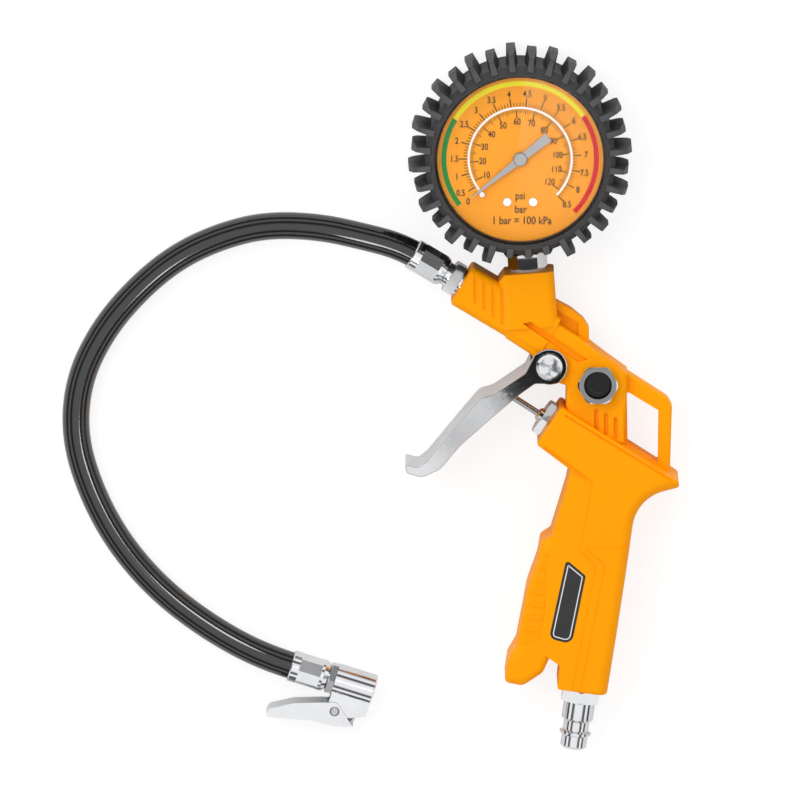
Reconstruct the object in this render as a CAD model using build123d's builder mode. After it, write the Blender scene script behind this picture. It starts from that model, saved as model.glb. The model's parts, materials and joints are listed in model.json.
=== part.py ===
"""Tyre inflator gun with a dial gauge, a short hose and a clip-on chuck, lying on its side on a bench.

Millimetres. The bench is z = 0. +Y runs along the gun from the nipple to the gauge, and +Z points away
from the bench, out of the dial. The gun's mid-plane is at z = MID.
"""

from math import asin, atan2, cos, degrees, hypot, pi, radians, sin, tan

import os

from build123d import *

os.makedirs("parts", exist_ok=True)

# ---- fits
RUNNING = 0.05  # radial clearance of a shaft in its hole
PLAY = 0.3  # gap between pieces that move past each other
SPRING_GAP = 0.1  # at each end of a coil spring

# ---- gun body, a painted die casting
MID = 14.0
GRIP_HALF = 13.0
GRIP_PANEL_STEP = 0.5
GRIP_TILT = 8.0  # the grip leans back from -Y by this angle
PAD_HALF = GRIP_HALF
CHAMBER_HALF = GRIP_HALF + GRIP_PANEL_STEP
BODY_ROUNDING = 1.2
BACK_ROUNDING = 4.5
SPINE_HALF = 9.0
NECK_HALF = 9.2
FRAME_HALF = 4.6
FIN_HALF = 3.4
BARREL_HEIGHT = 16.6
BARREL_HALF = 9.5
BARREL_CORNER = 3.0
PORT_BOSS_WIDTH = 21.5
PORT_BOSS_DEPTH = 20.6
PORT_BOSS_OFFSET = 1.0  # the gauge port stands off the boss's middle, away from the trigger
PORT_BOSS_CORNER = 3.8
PORT_BOSS_BEVEL = 2.8

# ---- air connections of the body
HOSE_PORT = (-30.6, 44.4)
HOSE_PORT_ANGLE = 149.0
PORT_THREAD = 4.4
GAUGE_PORT = (-5.3, 49.3)
GAUGE_LEAN = 4.1
INLET_PORT = (15.4, -112.0)
INLET_THREAD = 5.8

# ---- valve in the chamber
VALVE_FACE = (2.6, -8.65)
VALVE_ANGLE = -33.0
VALVE_BORE = 5.4
VALVE_DEPTH = 36.0
GLAND_FLATS = 13.0
GLAND_HEAD = 3.3
GLAND_THREAD_LENGTH = 7.0
STEM_RADIUS = 1.25
ROD_REACH = 20.8  # how far the push rod stands out of the chamber's face
SEAT_START = 17.0
SEAT_LENGTH = 3.0
SEAT_HOLE = 2.7
POPPET_RADIUS = 4.0
POPPET_LENGTH = 3.0
POPPET_SEAL = 0.9
SPRING_WIRE = 0.7

# ---- trigger
PIVOT = (2.7, 13.8)
PIVOT_RADIUS = 2.5
PIVOT_HEAD = 4.95
PIVOT_BOSS = 6.4
PIVOT_BOSS_HALF = 9.6
TRIGGER_HALF = 12.0
TRIGGER_SHEET = 1.9
TRIGGER_EAR = 6.9

# ---- bleed valve
BLEED = (21.1, 6.9)
BLEED_PAD = 10.6
BLEED_PAD_TOP = 9.6
BLEED_NUT_FLATS = 14.0
BLEED_NUT_CORNER = 7.6
BLEED_NUT_HEAD = 4.0
BLEED_THREAD = 6.3
BLEED_THREAD_LENGTH = 6.0
BLEED_BUTTON = 5.2
BLEED_TRAVEL = 2.0
BLEED_PIN = 1.2

# ---- inlet nipple
NIPPLE_FLATS = 14.0
NIPPLE_HEAD = 4.6
NIPPLE_BARREL = 6.0
NIPPLE_BARREL_LENGTH = 7.7
NIPPLE_NECK = 4.9
NIPPLE_NECK_LENGTH = 3.5
NIPPLE_BEAD_LENGTH = 2.2
NIPPLE_NOSE = 5.0
NIPPLE_NOSE_LENGTH = 5.0
NIPPLE_BORE = 3.0

# ---- hose and its fittings
HOSE_RADIUS = 5.2
FERRULE_RADIUS = 6.0
FERRULE_LENGTH = 14.6
BARB_RADIUS = 3.0
ADAPTER_FLATS = 12.0
ADAPTER_COLLAR = 1.0
ADAPTER_HEAD = 4.3
ADAPTER_NECK = 1.6

# ---- chuck
CHUCK_STEM_FLATS = 11.0
CHUCK_STEM_HEAD = 2.6
CHUCK_RADIUS = 6.2
CHUCK_LENGTH = 15.6
CHUCK_BORE = 4.0
CHUCK_BORE_DEPTH = 8.0
CHUCK_INNER_BORE = 3.8
CHUCK_RIM = 0.7  # left in front of the jaw's slot
CHUCK_SEAL_LENGTH = 2.8
SEAL_RECESS = 0.3  # the seal's face lies this far behind the mouth's floor
CHUCK_FLANGE = 4.6
FLANGE_SHEET = 1.3
LEVER_PIN = 1.1
JAW_HALF = 2.0
LEVER_SHEET = 1.0

# ---- gauge
CASE_RADIUS = 33.0
CASE_WALL = 1.0
CASE_BACK = 1.8
CASE_LIP = 2.4  # how far the case stands in front of the dial's seat
DIAL_GAP = 0.4  # between the dial and the case's wall
DIAL_RADIUS = CASE_RADIUS - CASE_WALL - DIAL_GAP
DIAL_HEIGHT = 25.0
DIAL_SEAT = 1.2
DIAL_SHEET = 0.6
CASE_FRONT = DIAL_HEIGHT + CASE_LIP
LENS_HEIGHT = DIAL_HEIGHT + 3.2
LENS_THICKNESS = 1.6
POINTER_HEIGHT = DIAL_HEIGHT + 1.4
POINTER_SHEET = 0.5
BOOT_WALL = 3.0
BOOT_RADIUS = CASE_RADIUS + BOOT_WALL
BOOT_FRONT = LENS_HEIGHT + LENS_THICKNESS + PLAY + 0.9
BOOT_LIP = CASE_RADIUS - 0.7
BOOT_BACK_LIP = CASE_RADIUS - 6.0
LUGS = 32
LUG_HEIGHT = 6.4  # out from the boot's side
LUG_CROWN = BOOT_RADIUS + LUG_HEIGHT
SHORT_LUG_CROWN = LUG_CROWN - 1.2
LUG_PROUD = 0.8  # in front of the boot's face
GAUGE_STEM_FLATS = 13.0
GAUGE_THREAD = 4.8
GAUGE_REACH = CASE_RADIUS + 11.4  # from the port face to the dial's centre
POINTER_ZERO = 218.5  # dial angle of the resting pointer
SHAFT_RADIUS = 0.8
MODULE = 0.25
PINION_TEETH = 10
SECTOR_TEETH = 88
LOWER_PLATE = 11.0
UPPER_PLATE = 18.0
PLATE_SHEET = 1.0

MIDPLANE = Plane.XY.offset(MID)


def axial(x, y, angle, z=MID):
    """A plane across an axis that lies at an angle from +X in the plane of the gun."""
    turn = radians(angle)
    return Plane(origin=(x, y, z), x_dir=(0, 0, 1), z_dir=(cos(turn), sin(turn), 0))


def along(plane):
    """The plane that holds another plane's normal: its x runs along the normal, its y outward."""
    return Plane(origin=plane.origin, x_dir=plane.z_dir, z_dir=plane.y_dir)


def turned(plane, *loop):
    """A turned piece about a plane's normal, from the (distance, radius) corners of half its section."""
    with BuildPart() as piece:
        with BuildSketch(along(plane)):
            with BuildLine():
                Polyline(*loop, close=True)
            make_face()
        revolve(axis=Axis(plane.origin, plane.z_dir))
    return piece


def hexagon(plane, flats, length, chamfer=0.8, both_ends=True, corner=0.0, turn=0):
    """A solid hexagon on a plane, with its corners turned down at the ends, or all along to a radius."""
    corner = corner or flats / 3**0.5 + 0.02
    near = corner - chamfer if both_ends else corner
    with BuildPart() as piece:
        with BuildSketch(plane):
            RegularPolygon(flats / 2, 6, major_radius=False, rotation=turn)
        extrude(amount=length)
        with BuildSketch(along(plane)):
            with BuildLine():
                Polyline(
                    (0, 0),
                    (0, near),
                    (chamfer * 0.55, corner),
                    (length - chamfer * 0.55, corner),
                    (length, corner - chamfer),
                    (length, 0),
                    close=True,
                )
            make_face()
        revolve(axis=Axis(plane.origin, plane.z_dir), mode=Mode.INTERSECT)
    return piece


def slab(half, corners, radius=1.0, rounding=0.0, plane=MIDPLANE):
    """A flat piece of even thickness about a plane, with rounded corners and rounded edges."""
    with BuildPart() as piece:
        with BuildSketch(plane):
            with BuildLine():
                FilletPolyline(*corners, radius=radius, close=True)
            make_face()
        extrude(amount=half, both=True)
        if rounding:
            fillet(piece.faces().filter_by(Axis.Z).edges(), rounding)
    return piece


def coil(plane, radius, wire, length, turns):
    """A compression spring that starts on a plane and fills a length of its normal."""
    height = length - wire - 2 * SPRING_GAP
    first = plane.offset(wire / 2 + SPRING_GAP)
    with BuildPart() as spring:
        with BuildLine() as path:
            Helix(height / turns, height, radius, center=first.origin, direction=first.z_dir)
        with BuildSketch(Plane(origin=path.line @ 0, z_dir=path.line % 0)):
            Circle(wire / 2)
        sweep(is_frenet=True)
    return spring


def write(name, piece):
    """Labels a finished piece and writes it as one STEP file."""
    piece.part.label = name
    export_step(piece.part, f"parts/{name}.step")


# ================================================================ gun body
valve = axial(*VALVE_FACE, VALVE_ANGLE)
hose_port = axial(*HOSE_PORT, HOSE_PORT_ANGLE)
inward_barrel = axial(*HOSE_PORT, HOSE_PORT_ANGLE + 180)
gauge_port = axial(*GAUGE_PORT, 90 + GAUGE_LEAN)
inlet = axial(*INLET_PORT, 270 - GRIP_TILT)
inward_grip = axial(*INLET_PORT, 90 - GRIP_TILT)


def across(plane, distance):
    """A corner on a port's face in the mid-plane, a distance to the left of the port's axis."""
    normal = plane.z_dir
    return (plane.origin.X - distance * normal.Y, plane.origin.Y + distance * normal.X)


# Valve chamber with its tang, and the grip below it
BODY_OUTLINE = [
    across(valve, 8.3),
    (51.9, -30.4),
    (52.2, -33.0),
    (36.0, -37.2),
    (31.8, -67.4),
    (28.3, -91.1),
    across(inlet, 9.5),
    across(inlet, -9.6),
    (6.9, -101.5),
    (0.4, -97),
    (1.6, -62),
    (3.6, -51.5),
    (9.2, -33),
    (10.8, -25.8),
    across(valve, -8.7),
]
BODY_CORNERS = [1.2, 1.0, 0, 16, 60, 60, 0, 1.2, 1.5, 1.5, 8, 20, 12, 1.0, 1.2]
BACK_TOP = -34  # the back of the grip runs below this height
BACK_FRONT = 21  # and behind this distance


def body_slab(half):
    """The chamber and the grip in one, with a full round down the back and small ones elsewhere."""
    with BuildPart() as piece:
        with BuildSketch(MIDPLANE):
            with BuildLine():
                FilletPolyline(*BODY_OUTLINE, radius=BODY_CORNERS, close=True)
            make_face()
        extrude(amount=half, both=True)
        for full_round, radius in ((True, BACK_ROUNDING), (False, BODY_ROUNDING)):
            rims = piece.faces().filter_by(Axis.Z).edges()
            middles = [(rim, rim.center()) for rim in rims]
            chosen = [
                rim
                for rim, middle in middles
                if (middle.X > BACK_FRONT and inlet.origin.Y - 4 < middle.Y < BACK_TOP) == full_round
            ]
            fillet(chosen, radius)
    return piece


chamber_and_grip = body_slab(CHAMBER_HALF)
pad = slab(
    PAD_HALF,
    [
        (5, -50.5),
        (-0.4, -54.2),
        (-1.6, -60.8),
        (-5.4, -71.5),
        (-9.6, -93.8),
        (-12.9, -99.6),
        (-14.2, -108.2),
        (-7.2, -109.6),
        (0.4, -104.6),
        (2.8, -99.2),
        (9, -94),
        (9, -56),
    ],
    radius=[1, 1.6, 8, 20, 6, 3, 1.8, 4, 5, 0.6, 1, 1],
    rounding=3.0,
)
spine = slab(
    SPINE_HALF,
    [
        (-14, 42),
        (-1.0, 34.0),
        (14.0, 24.4),
        (24.3, 16.4),
        (32.4, 10.6),
        (31.4, -14),
        (12, -10),
        (9.0, -2),
        (9.2, 6),
        (2.7, 8),
        (-4.3, 17.9),
        (-14, 24.3),
    ],
    radius=[1, 10, 10, 10, 1, 1, 1, 1, 1, 1, 2, 1],
    rounding=1.6,
)
neck = slab(
    NECK_HALF,
    [(10.6, 3), (31.2, 3), (31.2, -17), (12, -8), (9.6, -3.2)],
    radius=[1.5, 1.5, 1, 1, 1],
    rounding=1.0,
)
fin = slab(
    FIN_HALF,
    [(3, 39.0), (11.0, 34.6), (15.6, 30.8), (17.8, 27.4), (17.9, 20.4), (18, 16), (8, 20)],
    radius=[1, 8, 4, 2.5, 1.5, 1, 1],
    rounding=0.6,
)
frame = slab(
    FRAME_HALF,
    [(19, 19.0), (47.6, 0.4), (49.4, -2.6), (48.7, -29.5), (30, -24), (24, 2)],
    radius=[1, 2.5, 2.5, 1, 1, 1],
    rounding=1.2,
)
window = slab(
    FRAME_HALF + 8,
    [(32.2, 3.2), (44.4, -4.3), (44.2, -24.6), (32.6, -17.2)],
    radius=0.6,
)
# The boss of the gauge port loses its outer corner over the barrel
boss_side = PORT_BOSS_OFFSET + PORT_BOSS_WIDTH / 2
boss_bevel = [
    across(gauge_port.offset(PLAY), boss_side - PORT_BOSS_BEVEL - PLAY),
    across(gauge_port.offset(PLAY), boss_side + 0.1),
    across(gauge_port.offset(-PORT_BOSS_BEVEL - 0.1), boss_side + 0.1),
]

with BuildPart() as gun_body:
    add(chamber_and_grip.part)
    add(spine.part)
    add(neck.part)
    add(fin.part)
    add(frame.part)
    # Barrel towards the hose port
    with BuildSketch(inward_barrel):
        RectangleRounded(2 * BARREL_HALF, BARREL_HEIGHT, BARREL_CORNER)
    extrude(amount=39)
    chamfer(gun_body.faces().sort_by(Axis(hose_port.origin, hose_port.z_dir))[-1].edges(), 0.7)
    # Boss of the gauge port
    with BuildSketch(gauge_port.offset(-21)):
        with Locations((0, -PORT_BOSS_OFFSET)):
            RectangleRounded(PORT_BOSS_DEPTH, PORT_BOSS_WIDTH, PORT_BOSS_CORNER)
    extrude(amount=21)
    with BuildSketch(MIDPLANE):
        with BuildLine():
            Polyline(*boss_bevel, close=True)
        make_face()
    extrude(amount=PORT_BOSS_DEPTH, both=True, mode=Mode.SUBTRACT)
    # Boss between the trigger's ears, and the round pad of the bleed valve
    with BuildSketch(MIDPLANE):
        with Locations(PIVOT):
            Circle(PIVOT_BOSS)
    extrude(amount=PIVOT_BOSS_HALF, both=True)
    with BuildSketch(MIDPLANE):
        with Locations(BLEED):
            Circle(BLEED_PAD)
    extrude(amount=BLEED_PAD_TOP, taper=1.5)
    # Window of the hanging frame
    add(window.part, mode=Mode.SUBTRACT)

# The front of the grip lies one step below the chamber, and a strip along its back one step above
front_field = [
    (8.0, -23.8),
    (10.8, -25.4),
    (19.1, -30.6),
    (17.6, -42.1),
    (14.6, -56.3),
    (20.8, -62.7),
    (11.6, -112),
    (-30, -112),
    (-30, -23.8),
]
back_strip = [(17.0, -55.7), (24.4, -61.9), (14.9, -112), (40, -112), (40, -55.7)]
# Field of the finger ripples on the front of the grip
ripple_field = [(-12, -57.2), (5.6, -58.6), (-0.9, -91.4), (-30, -99.5), (-30, -57.2)]
# Lines that the casting shows on both sides
ledge_groove = [(9.0, -4.2), (49.6, -29.4), (49.2, -30.1), (8.6, -5.0)]
low_groove = [(1.4, -16.6), (12.4, -24.6), (19.4, -30.1), (19.0, -30.9), (12.0, -25.5), (0.9, -17.4)]
spine_recess = [(-7.4, 30.2), (-4.3, 30.9), (17.2, 16.3), (13.4, 15.2)]
fin_recess = [(5.4, 34.4), (13.9, 29.2), (13.9, 21.0), (5.4, 26.0)]

wide_grip = body_slab(GRIP_HALF + 2 * GRIP_PANEL_STEP)
with BuildPart() as raised_strip:
    add(wide_grip.part)
    with BuildSketch(MIDPLANE):
        with BuildLine():
            Polyline(*back_strip, close=True)
        make_face()
    extrude(amount=GRIP_HALF + 4, both=True, mode=Mode.INTERSECT)

with BuildPart() as lowered_field:
    for side in (1, -1):
        with BuildSketch(MIDPLANE.offset(side * GRIP_HALF)):
            with BuildLine():
                Polyline(*front_field, close=True)
            make_face()
        extrude(amount=side * 4)

RIPPLE_DEPTH = 0.4
with BuildPart() as front_pad:
    add(pad.part)
    for side in (1, -1):
        with BuildSketch(MIDPLANE.offset(side * (PAD_HALF - RIPPLE_DEPTH))):
            with BuildLine():
                Polyline(*ripple_field, close=True)
            make_face()
        extrude(amount=side * 4, mode=Mode.SUBTRACT)
        with BuildSketch(MIDPLANE.offset(side * (PAD_HALF - 1))):
            for n in range(6):
                with Locations((1.6 - 1.05 * n, -63.4 - 4.8 * n)):
                    SlotOverall(5.0, 1.3, rotation=-10)
        extrude(amount=side)

with BuildPart() as side_cuts:
    for half, depth, outline in (
        (CHAMBER_HALF, 0.6, ledge_groove),
        (CHAMBER_HALF, 0.5, low_groove),
        (SPINE_HALF, 1.4, spine_recess),
        (FIN_HALF, 1.2, fin_recess),
    ):
        for side in (1, -1):
            with BuildSketch(MIDPLANE.offset(side * half)):
                with BuildLine():
                    Polyline(*outline, close=True)
                make_face()
            extrude(amount=depth, both=True)
    # Upright grooves on the barrel, and three between the bleed valve and the chamber
    for side in (1, -1):
        with BuildSketch(MIDPLANE.offset(side * BARREL_HALF)):
            for n in range(4):
                with Locations((-25.4 + 3.4 * n, 43.6 - 2.3 * n)):
                    SlotOverall(11.5 + 0.8 * n, 1.2, rotation=90)
        extrude(amount=0.55, both=True)
        with BuildSketch(MIDPLANE.offset(side * NECK_HALF)):
            for n in range(3):
                with Locations((20.6 + 3.7 * n, -7.0 - 1.6 * n)):
                    SlotOverall(8.4, 1.7, rotation=90)
        extrude(amount=1.2, both=True)

with BuildPart() as air_ways:
    for side in (1, -1):
        with BuildSketch(MIDPLANE):
            with Locations(PIVOT):
                Circle(PIVOT_RADIUS + RUNNING)
        extrude(amount=side * (PIVOT_BOSS_HALF + 4))
    # Hose port and barrel drilling, down to the bleed valve
    with BuildSketch(inward_barrel):
        Circle(PORT_THREAD)
    extrude(amount=10)
    with BuildSketch(inward_barrel):
        Circle(3.0)
    extrude(amount=54)
    # Gauge port
    with BuildSketch(gauge_port.offset(-9)):
        Circle(GAUGE_THREAD)
    extrude(amount=9)
    with BuildSketch(gauge_port.offset(-22)):
        Circle(2.5)
    extrude(amount=22)
    # Bleed valve
    with BuildSketch(MIDPLANE.offset(BLEED_PAD_TOP - BLEED_THREAD_LENGTH)):
        with Locations(BLEED):
            Circle(BLEED_THREAD)
    extrude(amount=BLEED_THREAD_LENGTH)
    with BuildSketch(MIDPLANE.offset(-4)):
        with Locations(BLEED):
            Circle(4.2)
    extrude(amount=BLEED_PAD_TOP)
    # From the bleed valve down to the chamber
    with BuildSketch(axial(*BLEED, -106)):
        Circle(2.2)
    extrude(amount=25)
    # Valve chamber and grip drilling
    with BuildSketch(valve):
        Circle(VALVE_BORE)
    extrude(amount=VALVE_DEPTH)
    with BuildSketch(inward_grip):
        Circle(INLET_THREAD)
    extrude(amount=12)
    with BuildSketch(inward_grip):
        Circle(4.2)
    extrude(amount=86)

# Pocket for the plate on the side of the grip
PLATE_DEPTH = 0.5
plate_outline = [(9.3, -60.4), (16.6, -66.6), (11.3, -93.0), (2.9, -90.6)]
plate_radii = [1.0, 1.0, 3.0, 2.5]
with BuildPart() as plate_pocket:
    with BuildSketch(MIDPLANE.offset(GRIP_HALF - PLATE_DEPTH)):
        with BuildLine():
            FilletPolyline(*plate_outline, radius=plate_radii, close=True)
        make_face()
        offset(amount=0.1)
    extrude(amount=2)
with BuildPart() as side_plate:
    with BuildSketch(MIDPLANE.offset(GRIP_HALF - PLATE_DEPTH)):
        with BuildLine():
            FilletPolyline(*plate_outline, radius=plate_radii, close=True)
        make_face()
    extrude(amount=PLATE_DEPTH + 0.1)

with BuildPart() as whole_body:
    add(gun_body.part)
    add(lowered_field.part, mode=Mode.SUBTRACT)
    add(raised_strip.part)
    add(front_pad.part)
    add(side_cuts.part, mode=Mode.SUBTRACT)
    add(air_ways.part, mode=Mode.SUBTRACT)
    add(plate_pocket.part, mode=Mode.SUBTRACT)

write("gun_body", whole_body)
write("side_plate", side_plate)

# ================================================================ inlet nipple
WASHER = 1.0
nipple_head = hexagon(inlet.offset(WASHER), NIPPLE_FLATS, NIPPLE_HEAD)
with BuildPart() as inlet_nipple:
    add(nipple_head.part)
    barrel_end = WASHER + NIPPLE_HEAD + NIPPLE_BARREL_LENGTH
    neck_end = barrel_end + NIPPLE_NECK_LENGTH
    bead_end = neck_end + NIPPLE_BEAD_LENGTH
    nose_end = bead_end + NIPPLE_NOSE_LENGTH
    shank = turned(
        inlet,
        (-10, NIPPLE_BORE),
        (-10, INLET_THREAD - 1),
        (-9, INLET_THREAD),
        (WASHER, INLET_THREAD),
        (WASHER, 3.5),
        (barrel_end - NIPPLE_BARREL_LENGTH - 0.4, NIPPLE_BARREL),
        (barrel_end - 1, NIPPLE_BARREL),
        (barrel_end, NIPPLE_NECK),
        (neck_end, NIPPLE_NECK),
        (neck_end + 0.7, NIPPLE_BARREL),
        (bead_end - 0.7, NIPPLE_BARREL),
        (bead_end, NIPPLE_NOSE),
        (nose_end - 1, NIPPLE_NOSE),
        (nose_end, NIPPLE_NOSE - 1),
        (nose_end, NIPPLE_BORE),
    )
    add(shank.part)
    with BuildSketch(inlet.offset(-10)):
        Circle(NIPPLE_BORE)
    extrude(amount=nose_end + 10, mode=Mode.SUBTRACT)
write("inlet_nipple", inlet_nipple)
nipple_washer = turned(
    inlet, (0, INLET_THREAD + 0.1), (0, 6.9), (WASHER, 6.9), (WASHER, INLET_THREAD + 0.1)
)
write("nipple_washer", nipple_washer)

# ================================================================ valve
GUIDE = STEM_RADIUS + RUNNING
gland_head = hexagon(valve.offset(-GLAND_HEAD), GLAND_FLATS, GLAND_HEAD)
gland_turning = turned(
    valve,
    (-GLAND_HEAD - 1.6, GUIDE),
    (-GLAND_HEAD - 1.6, 2.0),
    (-GLAND_HEAD - 1.0, 2.6),
    (-GLAND_HEAD, 2.6),
    (-GLAND_HEAD + 1, 4.5),
    (0, VALVE_BORE),
    (GLAND_THREAD_LENGTH, VALVE_BORE),
    (GLAND_THREAD_LENGTH, GUIDE),
)
with BuildPart() as valve_gland_nut:
    add(gland_head.part)
    add(gland_turning.part)
    with BuildSketch(valve.offset(-GLAND_HEAD - 2)):
        Circle(GUIDE)
    extrude(amount=GLAND_HEAD + GLAND_THREAD_LENGTH + 4, mode=Mode.SUBTRACT)
write("valve_gland_nut", valve_gland_nut)

gland_seal = turned(
    valve.offset(GLAND_THREAD_LENGTH),
    (0, GUIDE),
    (0, VALVE_BORE - 0.05),
    (2.4, VALVE_BORE - 0.05),
    (2.4, GUIDE),
)
write("gland_seal", gland_seal)

poppet_start = SEAT_START + SEAT_LENGTH + POPPET_SEAL
valve_stem = turned(
    valve,
    (-ROD_REACH, 0),
    (-ROD_REACH, 0.5),
    (-ROD_REACH + 0.75, STEM_RADIUS),
    (poppet_start, STEM_RADIUS),
    (poppet_start, 0),
)
write("push_rod", valve_stem)

valve_seat = turned(
    valve.offset(SEAT_START),
    (0, SEAT_HOLE),
    (0, VALVE_BORE - 0.02),
    (SEAT_LENGTH, VALVE_BORE - 0.02),
    (SEAT_LENGTH, SEAT_HOLE + 0.8),
    (SEAT_LENGTH - 0.8, SEAT_HOLE),
)
write("valve_seat", valve_seat)

poppet_seal = turned(
    valve.offset(SEAT_START + SEAT_LENGTH + 0.05),
    (0, STEM_RADIUS),
    (0, POPPET_RADIUS),
    (POPPET_SEAL - 0.05, POPPET_RADIUS),
    (POPPET_SEAL - 0.05, STEM_RADIUS),
)
write("poppet_seal", poppet_seal)
valve_poppet = turned(
    valve.offset(poppet_start),
    (0, 0),
    (0, POPPET_RADIUS),
    (1.4, POPPET_RADIUS),
    (1.4, 2.2),
    (POPPET_LENGTH, 2.2),
    (POPPET_LENGTH, 0),
)
write("valve_poppet", valve_poppet)
spring_start = poppet_start + 1.4
valve_spring = coil(
    valve.offset(spring_start), 2.2 + SPRING_WIRE / 2 + 0.2, SPRING_WIRE, VALVE_DEPTH - spring_start, 5
)
write("valve_spring", valve_spring)

# ================================================================ trigger
front_edge = [(-6.4, 11.4), (-18.7, 3.0), (-23.4, 1.9), (-29.6, -5.4), (-43.4, -22.2)]
trigger_outline = [
    (5.0, 20.4),
    (-2.6, 19.0),
    *front_edge,
    (-47.0, -25.2),
    (-52.2, -23.6),
    (-51.4, -27.2),
    (-45.6, -29.0),
    (-38.4, -25.6),
    (-31.2, -16.8),
    (-18.7, -5.6),
    (-8.6, 3.0),
    (-2.8, 7.2),
    (6.6, 7.2),
    (9.4, 12.6),
]
channel_outline = [
    (16, 24),
    (-3.4, 24),
    (-5.0, 9.9),
    (-17.6, 1.2),
    (-22.4, 0.1),
    (-28.2, -6.8),
    (-38.6, -19.6),
    (-35.4, -25.4),
    (-20, -20),
    (2, -4),
    (16, 2),
]
with BuildPart() as trigger:
    with BuildSketch(MIDPLANE):
        with BuildLine():
            FilletPolyline(
                *trigger_outline,
                radius=[3, 2, 2, 6, 5, 20, 8, 3, 0.8, 1.2, 5, 6, 20, 20, 6, 2, 3, 3],
                close=True,
            )
        make_face()
        with Locations(PIVOT):
            Circle(TRIGGER_EAR)
    extrude(amount=TRIGGER_HALF, both=True)
    fillet(trigger.faces().filter_by(Axis.Z).edges(), 0.5)
    with BuildSketch(MIDPLANE):
        with BuildLine():
            FilletPolyline(*channel_outline, radius=[1, 1, 2, 5, 4, 20, 3, 1, 1, 1, 1], close=True)
        make_face()
    extrude(amount=TRIGGER_HALF - TRIGGER_SHEET, both=True, mode=Mode.SUBTRACT)
    with BuildSketch(MIDPLANE):
        with Locations(PIVOT):
            Circle(PIVOT_RADIUS + RUNNING)
    extrude(amount=TRIGGER_HALF + 2, both=True, mode=Mode.SUBTRACT)
write("trigger", trigger)

pin_axis = Plane(origin=(*PIVOT, MID), z_dir=(0, 0, 1))
pin_seat = TRIGGER_HALF + 0.1
pin_end = -MID + 0.4
clip_back = -TRIGGER_HALF - 1.0
trigger_pivot_pin = turned(
    pin_axis,
    (pin_end, 0),
    (pin_end, PIVOT_RADIUS - 0.3),
    (pin_end + 0.3, PIVOT_RADIUS),
    (clip_back, PIVOT_RADIUS),
    (clip_back, PIVOT_RADIUS - 0.5),
    (clip_back + 0.8, PIVOT_RADIUS - 0.5),
    (clip_back + 0.8, PIVOT_RADIUS),
    (pin_seat, PIVOT_RADIUS),
    (pin_seat, PIVOT_HEAD),
    (pin_seat + 1.3, PIVOT_HEAD),
    (pin_seat + 1.9, PIVOT_HEAD - 0.9),
    (pin_seat + 2.0, 0),
)
write("trigger_pivot_pin", trigger_pivot_pin)
with BuildPart() as pin_clip:
    with BuildSketch(Plane(origin=(*PIVOT, MID + clip_back + 0.05), z_dir=(0, 0, 1))):
        Circle(4.4)
        Circle(PIVOT_RADIUS - 0.45, mode=Mode.SUBTRACT)
        with Locations((0, -4)):
            Rectangle(3.2, 8, mode=Mode.SUBTRACT)
    extrude(amount=0.7)
write("pivot_pin_clip", pin_clip)

# ================================================================ bleed valve
bleed_axis = Plane(origin=(*BLEED, MID + BLEED_PAD_TOP), z_dir=(0, 0, 1))
bleed_head = hexagon(
    bleed_axis, BLEED_NUT_FLATS, BLEED_NUT_HEAD, chamfer=0.5, both_ends=False, corner=BLEED_NUT_CORNER
)
BLEED_WEB = 1.2
button_bore = BLEED_BUTTON + 0.1
with BuildPart() as bleed_valve_nut:
    add(bleed_head.part)
    with BuildSketch(bleed_axis.offset(-BLEED_THREAD_LENGTH)):
        Circle(BLEED_THREAD - 0.02)
    extrude(amount=BLEED_THREAD_LENGTH)
    with BuildSketch(bleed_axis.offset(-BLEED_THREAD_LENGTH + BLEED_WEB)):
        Circle(button_bore)
    extrude(amount=20, mode=Mode.SUBTRACT)
    with BuildSketch(bleed_axis.offset(-BLEED_THREAD_LENGTH)):
        Circle(BLEED_PIN + RUNNING)
    extrude(amount=4, mode=Mode.SUBTRACT)
write("bleed_valve_nut", bleed_valve_nut)

button_top = BLEED_NUT_HEAD - 1.6
button_bottom = button_top - 2.9
disc_top = -BLEED_THREAD_LENGTH - 0.05
bleed_button = turned(
    bleed_axis,
    (disc_top - 1.4, 0),
    (disc_top - 1.4, BLEED_PIN),
    (button_bottom, BLEED_PIN),
    (button_bottom, BLEED_BUTTON),
    (button_top - 0.5, BLEED_BUTTON),
    (button_top, BLEED_BUTTON - 0.5),
    (button_top, 3.6),
    (button_top - 0.5, 2.8),
    (button_top - 0.5, 0),
)
write("bleed_button", bleed_button)
bleed_seal = turned(
    bleed_axis,
    (disc_top - 1.2, BLEED_PIN),
    (disc_top - 1.2, 2.9),
    (disc_top, 2.9),
    (disc_top, BLEED_PIN),
)
write("bleed_seal", bleed_seal)
web_top = -BLEED_THREAD_LENGTH + BLEED_WEB
bleed_spring = coil(bleed_axis.offset(web_top), 2.6, 0.45, button_bottom - web_top, 4)
write("bleed_spring", bleed_spring)

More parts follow.
